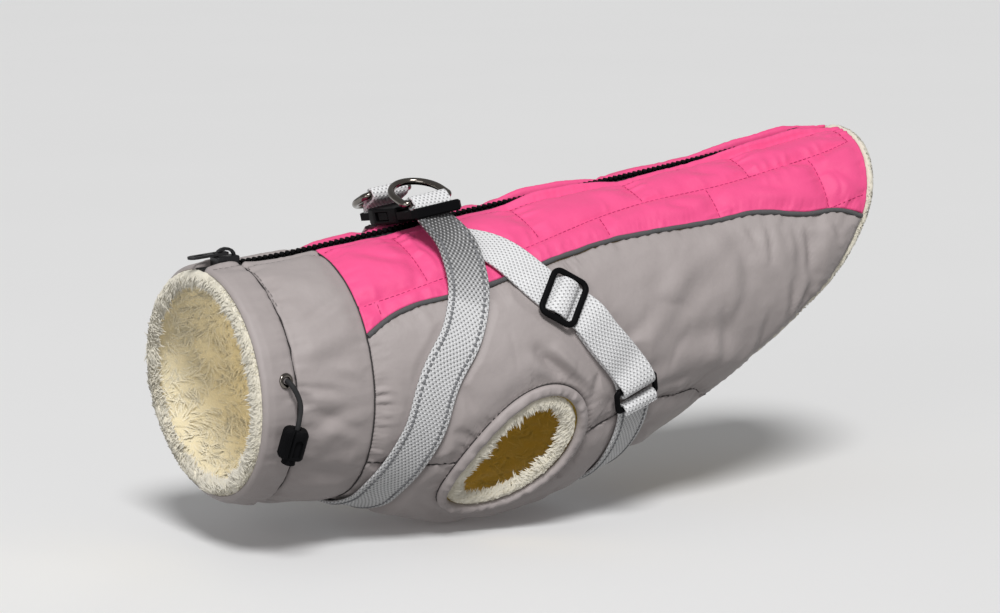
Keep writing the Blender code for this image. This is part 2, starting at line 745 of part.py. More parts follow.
def block(size, bevel=0.0, centre=(0.0, 0.0, 0.0), segments=2):
    """A bmesh box in metres from sizes in mm, its edges rounded."""
    shape = bmesh.new()
    place = Matrix.Translation(Vector(centre) * MM) @ Matrix.Diagonal((*(Vector(size) * MM), 1.0))
    bmesh.ops.create_cube(shape, size=1.0, matrix=place)
    if bevel:
        bmesh.ops.bevel(
            shape, geom=shape.edges[:], offset=bevel * MM, segments=segments, profile=0.5, affect="EDGES"
        )
    return shape


def prism(outline, low, high):
    """A bmesh from an outline of (x, y) in mm, raised from one height to another."""
    shape = bmesh.new()
    floor = [shape.verts.new((x * MM, y * MM, low * MM)) for x, y in outline]
    roof = [shape.verts.new((x * MM, y * MM, high * MM)) for x, y in outline]
    shape.faces.new(floor[::-1])
    shape.faces.new(roof)
    for i in range(len(outline)):
        j = (i + 1) % len(outline)
        shape.faces.new([floor[i], floor[j], roof[j], roof[i]])
    return shape


def cutter(target, shape, place):
    """A hidden solid taken out of a piece."""
    tool = add_mesh(f"{target.name}_cutter", shape, "black_plastic", place)
    tool.hide_render = True
    tool.display_type = "WIRE"
    cut = target.modifiers.new("cut", "BOOLEAN")
    cut.operation = "DIFFERENCE"
    cut.object = tool
    return tool


def join(target, shape, place):
    """A hidden solid added to a piece."""
    tool = cutter(target, shape, place)
    target.modifiers[-1].operation = "UNION"
    return tool


def make_zip():
    """Tape, toothed chain, slider with its pull, and the stop at the tail end."""
    strip("zip_tape", 0.0, ZIP_END, ZIP_TAPE_HALF, ZIP_TAPE_LIFTS, "zip_tape")
    strip("zip_chain", 20.0, ZIP_END - 8.0, ZIP_CHAIN_HALF, ZIP_CHAIN_LIFTS, "black_plastic")
    stop = local_place(ZIP_END - 3.8, 0.0, ZIP_TAPE_LIFTS[1] + SEAM_GAP + 1.5)
    add_mesh("zip_stop", block((7.0, 8.0, 3.0), 0.8), "black_plastic", stop)
    half = SLIDER_BODY_HEIGHT / 2
    body = prism([(-6, -4.0), (-3, -4.5), (6, -3.6), (6, 3.6), (-3, 4.5), (-6, 4.0)], -half, half)
    bmesh.ops.bevel(body, geom=body.edges[:], offset=0.5 * MM, segments=1, affect="EDGES")
    place = local_place(ZIP_SLIDER_ALONG, 0.0, ZIP_TAPE_LIFTS[1] + SEAM_GAP + half)
    slider = add_mesh("zip_slider", body, "black_metal", place)
    join(slider, arch((-4.6, 4.6), half - 0.4, BRIDGE_RISE, 0.7, 1.0), place)
    make_zip_pull(place)


def arch(ends, foot, rise, half_thickness, half_width):
    """A small bridge in the XZ plane: a half-oval strip between two feet."""
    turn = np.linspace(0, math.pi, 9)
    middle = (ends[0] + ends[1]) / 2
    reach = (ends[1] - ends[0]) / 2
    shape = bmesh.new()
    rings = []
    for angle in turn:
        ring = []
        for grow, side in ((1, -1), (1, 1), (-1, 1), (-1, -1)):
            x = middle - (reach + grow * half_thickness) * math.cos(angle)
            z = foot + (rise + grow * half_thickness) * math.sin(angle)
            ring.append(shape.verts.new((x * MM, side * half_width * MM, z * MM)))
        rings.append(ring)
    for here, ahead in zip(rings, rings[1:]):
        for j in range(4):
            k = (j + 1) % 4
            shape.faces.new([here[j], ahead[j], ahead[k], here[k]])
    shape.faces.new(rings[0])
    shape.faces.new(rings[-1][::-1])
    return shape


def make_zip_pull(slider_place):
    """The pull: a flat tab with an eye round the bridge, lying forward over the neck edge."""
    hinge = slider_place @ Matrix.Translation(Vector((0.0, 0.0, PULL_HINGE_HEIGHT)) * MM)
    hinge = hinge @ Matrix.Rotation(math.radians(180), 4, "Z")
    hinge = hinge @ Matrix.Rotation(math.radians(PULL_DROOP), 4, "Y")
    half = PULL_WIDTH / 2
    turn = np.linspace(-math.pi / 2, math.pi / 2, 7)
    nose = [(PULL_LENGTH - half + half * math.cos(a), half * math.sin(a)) for a in turn]
    outline = [(-1.0, -half + 1.0), (0.0, -half), *nose, (0.0, half), (-1.0, half - 1.0)]
    tab = add_mesh("zip_pull", prism(outline, -PULL_THICKNESS / 2, PULL_THICKNESS / 2), "black_metal", hinge)
    cutter(tab, block((*PULL_EYE, 6.0), 0.0, (PULL_EYE_AT, 0.0, 0.0)), hinge)
    turn = np.linspace(0, 2 * math.pi, 12, endpoint=False)
    slot = [(PULL_SLOT_AT + PULL_SLOT[0] * math.cos(a), PULL_SLOT[1] * math.sin(a)) for a in turn]
    cutter(tab, prism(slot, -3.0, 3.0), hinge)


# ---------------------------------------------------------------- webbing


def beside_route(route, run):
    """Steps in along and in angle that make one mm straight across a strap."""
    along, angle = walk(route, run)
    ahead_along, ahead_angle = walk(route, run + 0.5)
    by_along, by_angle = slopes(along, angle)
    out = np.cross(by_angle, by_along)
    course = by_along * (ahead_along - along)[:, None] + by_angle * (ahead_angle - angle)[:, None]
    across = np.cross(course, out)
    across /= np.linalg.norm(across, axis=1, keepdims=True)
    size = np.stack([by_along, by_angle], axis=1)
    steps = np.linalg.solve(size @ size.transpose(0, 2, 1), (size @ across[..., None]))[..., 0]
    return steps[:, 0], steps[:, 1]


def band(name, route, path, side="left", width=WEBBING_WIDTH):
    """Webbing down a route: path is rows of (run, lift) of its middle layer, and may turn back on itself.

    Each section is three places across the webbing on its upper face and three on its lower face, half a
    thickness to either side of the path.
    """
    path = np.asarray(path, dtype=float)
    ahead = np.gradient(path, axis=0)
    ahead /= np.linalg.norm(ahead, axis=1, keepdims=True)
    out = np.stack([-ahead[:, 1], ahead[:, 0]], axis=1) * WEBBING_THICKNESS / 2
    upper, lower = path + out, path - out
    beside_along, beside_angle = beside_route(route, path[:, 0])
    rings = []
    for face, order in ((upper, (-1, 0, 1)), (lower, (1, 0, -1))):
        face_along, face_angle = walk(route, face[:, 0])
        places = []
        for step in order:
            reach = step * width / 2
            place_along = face_along + reach * beside_along
            place_angle = face_angle + reach * beside_angle
            flank = place_angle if side == "left" else mirrored(place_angle)
            places.append(surface(place_along, flank, face[:, 1]))
        for place in places:
            away = place - places[1]
            length = np.linalg.norm(away, axis=1, keepdims=True)
            rings.append(places[1] + away * width / 2 * MM / np.maximum(length, MM))
    return loft(name, np.stack(rings, axis=1), "webbing")


def strap_path(route, start, end, drop=None, step=7.0):
    """Even steps down a route at the height of the straps, or at that of a drop table."""
    run = np.linspace(start, end, max(2, round((end - start) / step) + 1))
    lift = np.full(len(run), STRAP_LIFT) if drop is None else spline_held(drop, run)
    return np.stack([run, lift], axis=1)


def spline_held(drop, run):
    """Lift from a drop table, held at its last value past the end."""
    return np.interp(run, drop["run"], drop["lift"])


def whole_route(route):
    """A left strap's route carried on under the belly to the right flank, and its length."""
    both = {
        "along": np.concatenate([route["along"], route["along"][-2::-1]]),
        "angle": np.concatenate([route["angle"], mirrored(route["angle"][-2::-1])]),
    }
    return both, run_of(both)[-1]


def make_front_strap():
    """One length of webbing from the buckle's frame round the chest to the buckle's housing."""
    route, length = whole_route(FRONT_STRAP)
    path = strap_path(route, FRONT_START, length)
    left = spline_held(FRONT_DROP_LEFT, path[:, 0])
    right = spline_held(FRONT_DROP_RIGHT, length - path[:, 0])
    path[:, 1] = np.where(path[:, 0] < length / 2, left, right)
    band("strap_front", route, path)


def strap_turn():
    """Distance from the middle of a ring's bar to the middle of the webbing that turns round it."""
    return RING_WIRE + RING_SEAT + SEAM_GAP + WEBBING_THICKNESS / 2


def ring_bar_run():
    """Distance down the rear strap of the ring bar that it turns round."""
    return run_of(REAR_STRAP)[-1] - RING_LENGTH / 2 + RING_WIRE


def make_rear_strap(side):
    """Webbing from the buckle over the adjuster's middle bar to the ring, and round the ring's bar."""
    drop = REAR_DROP_LEFT if side == "left" else REAR_DROP_RIGHT
    bar_top = SLIDER_LIFT - SLIDER_THICKNESS / 2 + SLIDER_MIDDLE_BAR
    hump = bar_top + 2 * SEAM_GAP + WEBBING_THICKNESS / 2
    upper = STRAP_LIFT + WEBBING_THICKNESS + SEAM_GAP
    bar = ring_bar_run()
    before = strap_path(REAR_STRAP, 4.0, SLIDER_AT - SLIDER_LENGTH / 2 - 2, drop)
    rise = [(7.6, STRAP_LIFT), (5.2, STRAP_LIFT + 0.3), (4.3, hump - 1.9), (2.9, hump - 0.5), (1.2, hump)]
    over = [(SLIDER_AT - away, lift) for away, lift in rise]
    over += [(SLIDER_AT + away, lift) for away, lift in reversed(rise)]
    over.append((SLIDER_AT + 10.5, STRAP_LIFT + 0.4))
    beyond = [(run, upper) for run in np.linspace(SLIDER_AT + 15, bar - 9, 4)]
    turns = np.radians(np.linspace(110, -90, 8))
    round_bar = [(bar + strap_turn() * math.cos(t), RING_LIFT + strap_turn() * math.sin(t)) for t in turns]
    band(f"strap_rear_{side}", REAR_STRAP, [*before, *over, *beyond, *round_bar], side)


def make_return_strap(side):
    """The same webbing where it comes back under itself from the ring towards the adjuster."""
    run = np.linspace(SLIDER_AT + 16, ring_bar_run() - 1.2, 6)
    band(f"strap_return_{side}", REAR_STRAP, np.stack([run, np.full(6, STRAP_LIFT)], axis=1), side)


def make_belly_strap():
    """Webbing under the belly from one ring to the other, folded back over each ring's bar."""
    route, length = whole_route(BELLY_STRAP)
    reach = strap_turn()
    bar = RING_LENGTH / 2 - RING_WIRE
    turns = np.radians(np.linspace(60, 270, 8))
    near = [(bar + reach * math.cos(t), RING_LIFT + reach * math.sin(t)) for t in turns]
    path = near + [tuple(p) for p in strap_path(route, bar + 5, length - bar - 5)]
    path += [(length - run, lift) for run, lift in reversed(near)]
    band("strap_belly", route, path)


# ---------------------------------------------------------------- harness hardware


def rounded_outline(length, width, corner, steps=3):
    """An upright rounded rectangle as (x, y) in mm."""
    points = []
    for cx, cy, start in ((1, 1, 0), (-1, 1, 90), (-1, -1, 180), (1, -1, 270)):
        for turn in np.radians(np.linspace(start, start + 90, steps)):
            x = cx * (length / 2 - corner) + corner * math.cos(turn)
            y = cy * (width / 2 - corner) + corner * math.sin(turn)
            points.append((x, y))
    return points


def strap_place(route, run, lift, side):
    """A frame on a strap: X down the strap, Z outwards."""
    along, angle = (float(v) for v in walk(route, run))
    ahead_along, ahead_angle = (float(v) for v in walk(route, run + 0.5))
    course = (ahead_along - along, ahead_angle - angle)
    if side == "left":
        return local_place(along, angle, lift, course)
    return local_place(along, mirrored(angle), lift, (course[0], -course[1]))


def wire_ring(name, middle, radius, paint, place, sides=8):
    """A closed wire along a flat outline of (x, y) in mm that turns to the left."""
    ahead = np.roll(middle, -1, axis=0) - np.roll(middle, 1, axis=0)
    ahead /= np.linalg.norm(ahead, axis=1, keepdims=True)
    out = np.stack([ahead[:, 1], -ahead[:, 0]], axis=1)
    turn = np.linspace(0, 2 * math.pi, sides, endpoint=False)
    flat = middle[:, None] + out[:, None] * (radius * np.cos(turn))[None, :, None]
    height = np.broadcast_to(radius * np.sin(turn), flat.shape[:2])
    ring = loft(name, np.concatenate([flat, height[..., None]], axis=-1) * MM, paint, closed=True)
    ring.matrix_world = place
    return ring


def make_slide_adjuster(side):
    """Flat plastic frame: two end bars over the webbing, and a thinner middle bar under it."""
    place = strap_place(REAR_STRAP, SLIDER_AT, SLIDER_LIFT, side)
    half = SLIDER_THICKNESS / 2
    shape = prism(rounded_outline(SLIDER_LENGTH, SLIDER_WIDTH, 3.5), -half, half)
    frame = add_mesh(f"slider_{side}", shape, "black_plastic", place)
    opening = SLIDER_LENGTH - 2 * SLIDER_BAR
    slot = (opening - SLIDER_BAR) / 2
    reach = WEBBING_WIDTH + 1.2
    for way in (-1, 1):
        cutter(frame, block((slot, reach, 8.0), 0.0, (way * (SLIDER_BAR + slot) / 2, 0.0, 0.0)), place)
    above = half - SLIDER_MIDDLE_BAR + half
    cutter(frame, block((opening - 0.4, reach - 0.2, above * 2), 0.0, (0.0, 0.0, half)), place)


def make_ring(side):
    """Rectangular ring between the rear strap and the belly strap."""
    place = strap_place(REAR_STRAP, run_of(REAR_STRAP)[-1], RING_LIFT - RING_SEAT, side)
    middle = np.array(rounded_outline(RING_LENGTH - 2 * RING_WIRE, RING_WIDTH - 2 * RING_WIRE, 1.6))
    wire_ring(f"ring_{side}", middle, RING_WIRE, "black_plastic", place)


def rig_place(across=0.0, height=0.0, turn=0.0):
    """A frame over the crest of the back at the buckle: X along the back's slope, turned about X."""
    by_along = slopes(BUCKLE_LONG, 0.0)[0]
    pitch = math.atan2(by_along[2], by_along[0])
    base = Matrix.Translation(Vector(form(BUCKLE_LONG, 0.0)) * MM) @ Matrix.Rotation(-pitch, 4, "Y")
    moved = base @ Matrix.Translation(Vector((0.0, across, height)) * MM)
    return moved @ Matrix.Rotation(math.radians(turn), 4, "X")


def buckle_place():
    """The buckle's frame: Y across the back, Z up from its underside."""
    return rig_place(height=BUCKLE_LIFT, turn=-BUCKLE_TILT)


def make_buckle():
    """Side-release buckle, fastened: the housing on the far side, the pronged frame on the near side."""
    place = buckle_place()
    half, thick = BUCKLE_WIDTH / 2, BUCKLE_THICKNESS
    waist = half - 1.5
    middle = thick / 2
    body = [
        (-half, BUCKLE_JOINT), (half, BUCKLE_JOINT), (half, 12.0), (waist, BUCKLE_BAR_STEP),
        (-waist, BUCKLE_BAR_STEP), (-half, 12.0),
    ]
    shape = prism(body, 0.0, thick)
    bmesh.ops.bevel(shape, geom=shape.edges[:], offset=1.2 * MM, segments=2, profile=0.5, affect="EDGES")
    housing = add_mesh("buckle_female", shape, "black_plastic", place)
    reach = waist - 0.6
    bar = [
        (-reach, 17.0), (reach, 17.0), (reach, 29.0), (reach - 2.5, BUCKLE_FAR_END),
        (2.5 - reach, BUCKLE_FAR_END), (-reach, 29.0),
    ]
    join(housing, prism(bar, middle - BUCKLE_BAR / 2, middle + BUCKLE_BAR / 2), place)
    inside = (BUCKLE_WIDTH - 2 * BUCKLE_WALL, thick - 2 * BUCKLE_WALL)
    depth = CAVITY_END - BUCKLE_JOINT + 3.0
    cutter(housing, block((inside[0], depth, inside[1]), 0.0, (0.0, CAVITY_END - depth / 2, middle)), place)
    for way in (-1, 1):
        cutter(housing, block((4.0, 13.0, inside[1] - 0.4), 0.0, (way * half, 3.0, middle)), place)
    start = BUCKLE_BAR_STEP + 0.4
    slot = FAR_BAR - BUCKLE_BAR / 2 - start
    cutter(housing, block((WEBBING_WIDTH + 0.8, slot, 20.0), 0.0, (0.0, start + slot / 2, middle)), place)
    make_buckle_frame(place)


def make_buckle_frame(place):
    """The near half: a frame with a bar for the webbing, a guide rib and two springy prongs."""
    half, thick = BUCKLE_WIDTH / 2, BUCKLE_THICKNESS
    low, high = (thick - BUCKLE_BAR) / 2, (thick + BUCKLE_BAR) / 2
    reach = half - BUCKLE_WALL - 0.4
    base = BUCKLE_JOINT - 0.5
    side = [
        (half - 2.0, BUCKLE_NEAR_END), (half, BUCKLE_NEAR_END + 2.5), (half, base), (reach, base),
        (reach, -2.6), (half - 0.6, -1.4), (half - 0.6, 7.4), (reach - 1.0, 10.5), (reach - 3.6, 10.5),
        (reach - 4.2, 6.0), (reach - 3.4, -8.0), (reach - 4.4, -9.6), (2.0, -9.6), (1.4, 12.0),
    ]
    outline = side + [(-x, y) for x, y in reversed(side)]
    frame = add_mesh("buckle_male", prism(outline, low, high), "black_plastic", place)
    beam = block((BUCKLE_WIDTH - 3.0, BUCKLE_BAR - 0.8, NEAR_BAR_HEIGHT), 0.6, (0.0, NEAR_BAR, thick / 2))
    join(frame, beam, place)
    start = NEAR_BAR + BUCKLE_BAR / 2
    slot = base - 5.0 - start
    cutter(frame, block((WEBBING_WIDTH + 1.2, slot, 20.0), 0.0, (0.0, start + slot / 2, thick / 2)), place)


def d_outline():
    """The D's middle line as (x, y) in mm: the bar on the X axis, the bow towards +Y."""
    half, corner = D_RING_HALF_BAR, D_RING_CORNER
    rise = D_RING_DEPTH - D_RING_SHOULDER
    turn = np.linspace(0, math.pi, 13)
    bow = [(half * math.cos(a), D_RING_SHOULDER + rise * math.sin(a)) for a in turn]
    side = [(half - corner, 0.0), (half - corner * 0.3, corner * 0.3), (half, corner)]
    return np.array([*side, *bow, *((-x, y) for x, y in reversed(side))])


def make_d_ring(side, ring):
    """A welded wire D, free to swing on its bar."""
    place = rig_place(ring["across"], ring["height"], ring["lean"])
    wire_ring(f"d_ring_{side}", d_outline(), D_RING_WIRE, "gunmetal", place)


def tangent(centre, reach, place, way):
    """The turn at which a line from a place touches a circle, on the side given by way."""
    line = place - centre
    return math.atan2(line[1], line[0]) + way * math.acos(reach / np.hypot(*line))


def make_ring_loop(side, ring):
    """A webbing loop over a D-ring's bar: both its legs go down through the slot beside the buckle's bar."""
    bar, way = (NEAR_BAR, 1) if side == "left" else (FAR_BAR, -1)
    tilt = math.radians(-BUCKLE_TILT)
    seat = SEAM_GAP + WEBBING_THICKNESS / 2
    outer = bar + way * (BUCKLE_BAR / 2 + seat)
    inner = outer + way * (WEBBING_THICKNESS + SEAM_GAP)
    legs = np.array([(outer, LOOP_FOOT), (outer, LOOP_KNEE), (inner, LOOP_KNEE), (inner, LOOP_FOOT)])
    turned = np.array([[math.cos(tilt), math.sin(tilt)], [-math.sin(tilt), math.cos(tilt)]])
    legs = legs @ turned + (0.0, BUCKLE_LIFT)
    pivot = np.array([ring["across"], ring["height"]])
    reach = D_RING_WIRE + seat
    start = tangent(pivot, reach, legs[1], -way)
    end = tangent(pivot, reach, legs[2], way)
    sweep = -way * np.mod(way * (start - end), 2 * math.pi)
    turn = start + np.linspace(0, sweep, 9)
    over = pivot + reach * np.stack([np.cos(turn), np.sin(turn)], axis=1)
    path = np.concatenate([legs[:2], over, legs[2:]])
    ahead = np.gradient(path, axis=0)
    ahead /= np.linalg.norm(ahead, axis=1, keepdims=True)
    out = np.stack([-ahead[:, 1], ahead[:, 0]], axis=1) * WEBBING_THICKNESS / 2
    half = WEBBING_WIDTH / 2 - 0.2
    rings = []
    for face, x in ((path + out, -half), (path + out, half), (path - out, half), (path - out, -half)):
        rings.append(np.stack([np.full(len(face), x), face[:, 0], face[:, 1]], axis=1) * MM)
    loop = loft(f"ring_loop_{side}", np.stack(rings, axis=1), "webbing")
    loop.matrix_world = rig_place()


# ---------------------------------------------------------------- drawcord


def lathe(profile, sides=12):
    """A bmesh turned about Z from (radius, height) rows in mm, closed into a ring."""
    shape = bmesh.new()
    rings = []
    for k in range(sides):
        turn = 2 * math.pi * k / sides
        rings.append([
            shape.verts.new((r * math.cos(turn) * MM, r * math.sin(turn) * MM, z * MM)) for r, z in profile
        ])
    for k in range(sides):
        here, ahead = rings[k], rings[(k + 1) % sides]
        for j in range(len(profile)):
            i = (j + 1) % len(profile)
            shape.faces.new([here[j], ahead[j], ahead[i], here[i]])
    return shape


def make_eyelet():
    """Metal eyelet in the neck band where the drawcord comes out."""
    profile = [(1.7, 0.0), (3.6, 0.0), (3.6, 0.35), (2.9, 0.9), (2.1, 0.9), (1.7, 0.5)]
    place = local_place(*EYELET_PLACE, 1.1)
    add_mesh("eyelet", lathe(profile), "gunmetal", place)


def lock_place():
    """The cord lock's frame: X down along the cord, Z outwards."""
    place = local_place(*LOCK_PLACE, LOCK_LIFT, (-0.17, 0.95))
    return place @ Matrix.Rotation(math.radians(LOCK_ROLL), 4, "X")


def make_drawcord():
    """The elastic cord from the eyelet into the cord lock."""
    free = surface(DRAWCORD["along"], DRAWCORD["angle"], DRAWCORD["lift"])
    held = [lock_place() @ Vector((x * MM, 0.0, 0.0)) for x in CORD_IN_LOCK]
    points = np.concatenate([free, held])
    run = np.append(0, np.cumsum(np.linalg.norm(np.diff(points, axis=0), axis=1)))
    even = np.linspace(0, run[-1], 17)
    route = np.stack([spline(run, points[:, k], even) for k in range(3)], axis=1)
    line = bpy.data.curves.new("drawcord", "CURVE")
    line.dimensions = "3D"
    line.bevel_depth = CORD_RADIUS * MM
    line.bevel_resolution = 2
    line.use_fill_caps = True
    course = line.splines.new("POLY")
    course.points.add(len(route) - 1)
    for point, at in zip(course.points, route):
        point.co = (*at, 1.0)
    line.materials.append(material("black_cord"))
    bpy.context.scene.collection.objects.link(bpy.data.objects.new("drawcord", line))


def along_x(x):
    """A shift along X in mm."""
    return Matrix.Translation(Vector((x * MM, 0.0, 0.0)))


def make_cord_lock():
    """Spring cord lock: a barrel with a hole for the cord and a socket for the plunger."""
    place = lock_place()
    half = LOCK_LENGTH / 2
    barrel = add_mesh("cord_lock", block((LOCK_LENGTH, LOCK_WIDTH, LOCK_DEPTH), 2.2), "black_plastic", place)
    cutter(barrel, rod(CORD_HOLE_RADIUS, 2 * CORD_HOLE_DEPTH, 12), place @ along_x(-half))
    floor = half + PLUNGER_OUT - PLUNGER_LENGTH - PLUNGER_TRAVEL - SEAM_GAP
    socket = rod(PLUNGER_RADIUS + SEAM_GAP, LOCK_LENGTH, 14)
    cutter(barrel, socket, place @ along_x(floor + LOCK_LENGTH / 2))
    head = place @ along_x(half + PLUNGER_OUT - PLUNGER_LENGTH / 2)
    add_mesh("cord_lock_plunger", rod(PLUNGER_RADIUS, PLUNGER_LENGTH, 14), "black_plastic", head)


def rod(radius, length, sides):
    """A bmesh rod along X, centred, sizes in mm."""
    shape = bmesh.new()
    size = {"radius1": radius * MM, "radius2": radius * MM, "depth": length * MM}
    turn = Matrix.Rotation(math.radians(90), 4, "Y")
    bmesh.ops.create_cone(shape, cap_ends=True, segments=sides, matrix=turn, **size)
    return shape


# ---------------------------------------------------------------- the coat


def main():
    for old in list(bpy.data.objects):
        bpy.data.objects.remove(old, do_unlink=True)
    make_neck_band()
    make_collar()
    for side in ("left", "right"):
        make_saddle(side)
        make_side(side)
        make_piping(side)
        make_cuff(side)
    make_belly()
    make_lining()
    make_zip()
    make_front_strap()
    make_belly_strap()
    for side, ring in (("left", LEFT_RING), ("right", RIGHT_RING)):
        make_rear_strap(side)
        make_return_strap(side)
        make_slide_adjuster(side)
        make_ring(side)
        make_d_ring(side, ring)
        make_ring_loop(side, ring)
    make_buckle()
    make_eyelet()
    make_drawcord()
    make_cord_lock()


main()
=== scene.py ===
# %% [markdown]
# # A padded dog coat, dressed
#
# The coat's frame is a set of plain solids made to fit and to move.  This notebook loads them,
# and then makes each piece of cloth, fleece, webbing and plastic again with its folds, stitches and
# finish.  A piece is never moved from where the frame has it, so every size below is the frame's own,
# in millimetres and degrees.

# %% Load the frame
import math

import bmesh
import bpy
import numpy as np
from mathutils import Matrix, Vector


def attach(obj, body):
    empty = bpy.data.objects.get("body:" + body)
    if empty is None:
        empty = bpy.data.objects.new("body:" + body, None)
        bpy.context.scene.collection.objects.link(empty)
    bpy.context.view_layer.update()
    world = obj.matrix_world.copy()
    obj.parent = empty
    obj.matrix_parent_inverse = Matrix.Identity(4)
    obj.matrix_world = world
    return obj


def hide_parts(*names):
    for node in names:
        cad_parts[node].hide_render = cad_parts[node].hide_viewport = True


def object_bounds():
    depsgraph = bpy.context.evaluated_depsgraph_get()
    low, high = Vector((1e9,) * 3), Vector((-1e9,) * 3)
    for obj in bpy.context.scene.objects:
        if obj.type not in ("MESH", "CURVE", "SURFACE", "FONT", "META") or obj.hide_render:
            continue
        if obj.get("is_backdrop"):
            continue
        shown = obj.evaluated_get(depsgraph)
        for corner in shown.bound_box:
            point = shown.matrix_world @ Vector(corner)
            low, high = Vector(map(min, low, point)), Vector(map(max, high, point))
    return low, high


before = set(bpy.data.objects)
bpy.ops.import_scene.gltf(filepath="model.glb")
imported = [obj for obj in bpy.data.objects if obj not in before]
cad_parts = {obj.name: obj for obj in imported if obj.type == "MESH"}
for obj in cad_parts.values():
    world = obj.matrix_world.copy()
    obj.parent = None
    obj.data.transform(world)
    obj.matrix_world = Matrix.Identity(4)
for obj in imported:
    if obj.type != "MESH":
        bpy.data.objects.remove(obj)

MM = 0.001
cad_box = [[float(value) for value in corner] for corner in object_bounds()]
print("frame box in mm:", [[round(value / MM, 1) for value in corner] for corner in cad_box])

# %% [markdown]
# ## Camera, floor and light
#
# A coat is shown from its left side, a little from the front and a little from above, through a long
# lens, so the neck opening and the flank are seen together and nothing is stretched.  A camera looks
# along its own -Z, so its direction is built from an azimuth and an elevation and handed to
# to_track_quat.  A broad sun lights the whole table evenly, because it doesn't fall off with distance as
# an area lamp does; a weak lamp in front of the neck and a pale world fill its shadows.  A small warm
# lamp inside the coat stands for the light that soaks through pale fleece.

# %% Camera
AZIMUTH, ELEVATION = math.radians(-31.0), math.radians(9.0)
TARGET = Vector((0.0435, 0.0, -0.0384))
DISTANCE = 1.6
FOCAL_LENGTH = 118.08


def new_object(name, data):
    """An object with this data, in the scene's own collection."""
    thing = bpy.data.objects.new(name, data)
    bpy.context.scene.collection.objects.link(thing)
    return thing


def facing_along(course):
    """The turn that points an object's -Z along a course."""
    return course.to_track_quat("-Z", "Y").to_euler()


level = math.cos(ELEVATION)
back = Vector((math.sin(AZIMUTH) * level, -math.cos(AZIMUTH) * level, math.sin(ELEVATION)))
camera = new_object("camera", bpy.data.cameras.new("camera"))
camera.location = TARGET + back * DISTANCE
camera.rotation_euler = facing_along(-back)
camera.data.lens = FOCAL_LENGTH
bpy.context.scene.camera = camera
print("camera at", [round(value, 3) for value in camera.location])

# %% Floor and lamps
SAG = 1.2  # how far the belly's folds hang below the frame, in mm
FLOOR = cad_box[0][2] - SAG * MM


def add_lamp(name, kind, place, power, size, aim=TARGET, tint=(1.0, 1.0, 1.0)):
    """A lamp that looks at its aim: size is an area lamp's side, or a sun's spread in degrees."""
    lamp = new_object(name, bpy.data.lights.new(name, kind))
    lamp.data.energy, lamp.data.color = power, tint
    if kind == "SUN":
        lamp.data.angle = math.radians(size)
    else:
        lamp.data.size = size
    lamp.location = place
    lamp.rotation_euler = facing_along(Vector(aim) - Vector(place))
    lamp.visible_camera = False


add_lamp("key", "SUN", (-0.30, -0.74, 0.92), 2.5, 18.0)
add_lamp("front", "AREA", (-1.1, -0.75, 0.30), 3.6, 0.6)
add_lamp("inside", "AREA", (-0.012, 0.0, -0.045), 0.055, 0.06, (-0.12, 0.0, 0.0), (1.0, 0.94, 0.76))
world = bpy.data.worlds.new("studio")
world.use_nodes = True
world.node_tree.nodes["Background"].inputs["Color"].default_value = (1.0, 1.0, 1.0, 1.0)
world.node_tree.nodes["Background"].inputs["Strength"].default_value = 0.28
bpy.context.scene.world = world
bpy.context.scene.view_settings.view_transform = "Standard"
print("lamps:", list(bpy.data.lights.keys()), "floor at", round(FLOOR, 4))

# %% [markdown]
# ## Shader sums
#
# A finish is a sum of waves and noises.  Wiring Math nodes by hand hides that sum, so a small class wraps
# a socket and lets Python write it: `1 - mask * 0.5` adds the two nodes by itself.  Every other node comes
# from one method, which takes the node's type, its settings and the values or links of its sockets.

# %% A socket that can be reckoned with
CLOTH_UNIT = 100.0  # one unit of a cloth's UV map, in mm


class Value:
    """A shader socket: an expression on it adds its Math nodes."""

    def __init__(self, paint, socket):
        self.paint, self.socket = paint, socket

    def math(self, operation, *others):
        """A Math node that works on this value and the others."""
        return self.paint.node("ShaderNodeMath", {"operation": operation}, [self, *others])

    def __add__(self, other):
        return self.math("ADD", other)

    def __mul__(self, other):
        return self.math("MULTIPLY", other)

    def __sub__(self, other):
        return self.math("SUBTRACT", other)

    def __rsub__(self, other):
        return self.paint.node("ShaderNodeMath", {"operation": "SUBTRACT"}, [other, self])

    __radd__, __rmul__ = __add__, __mul__


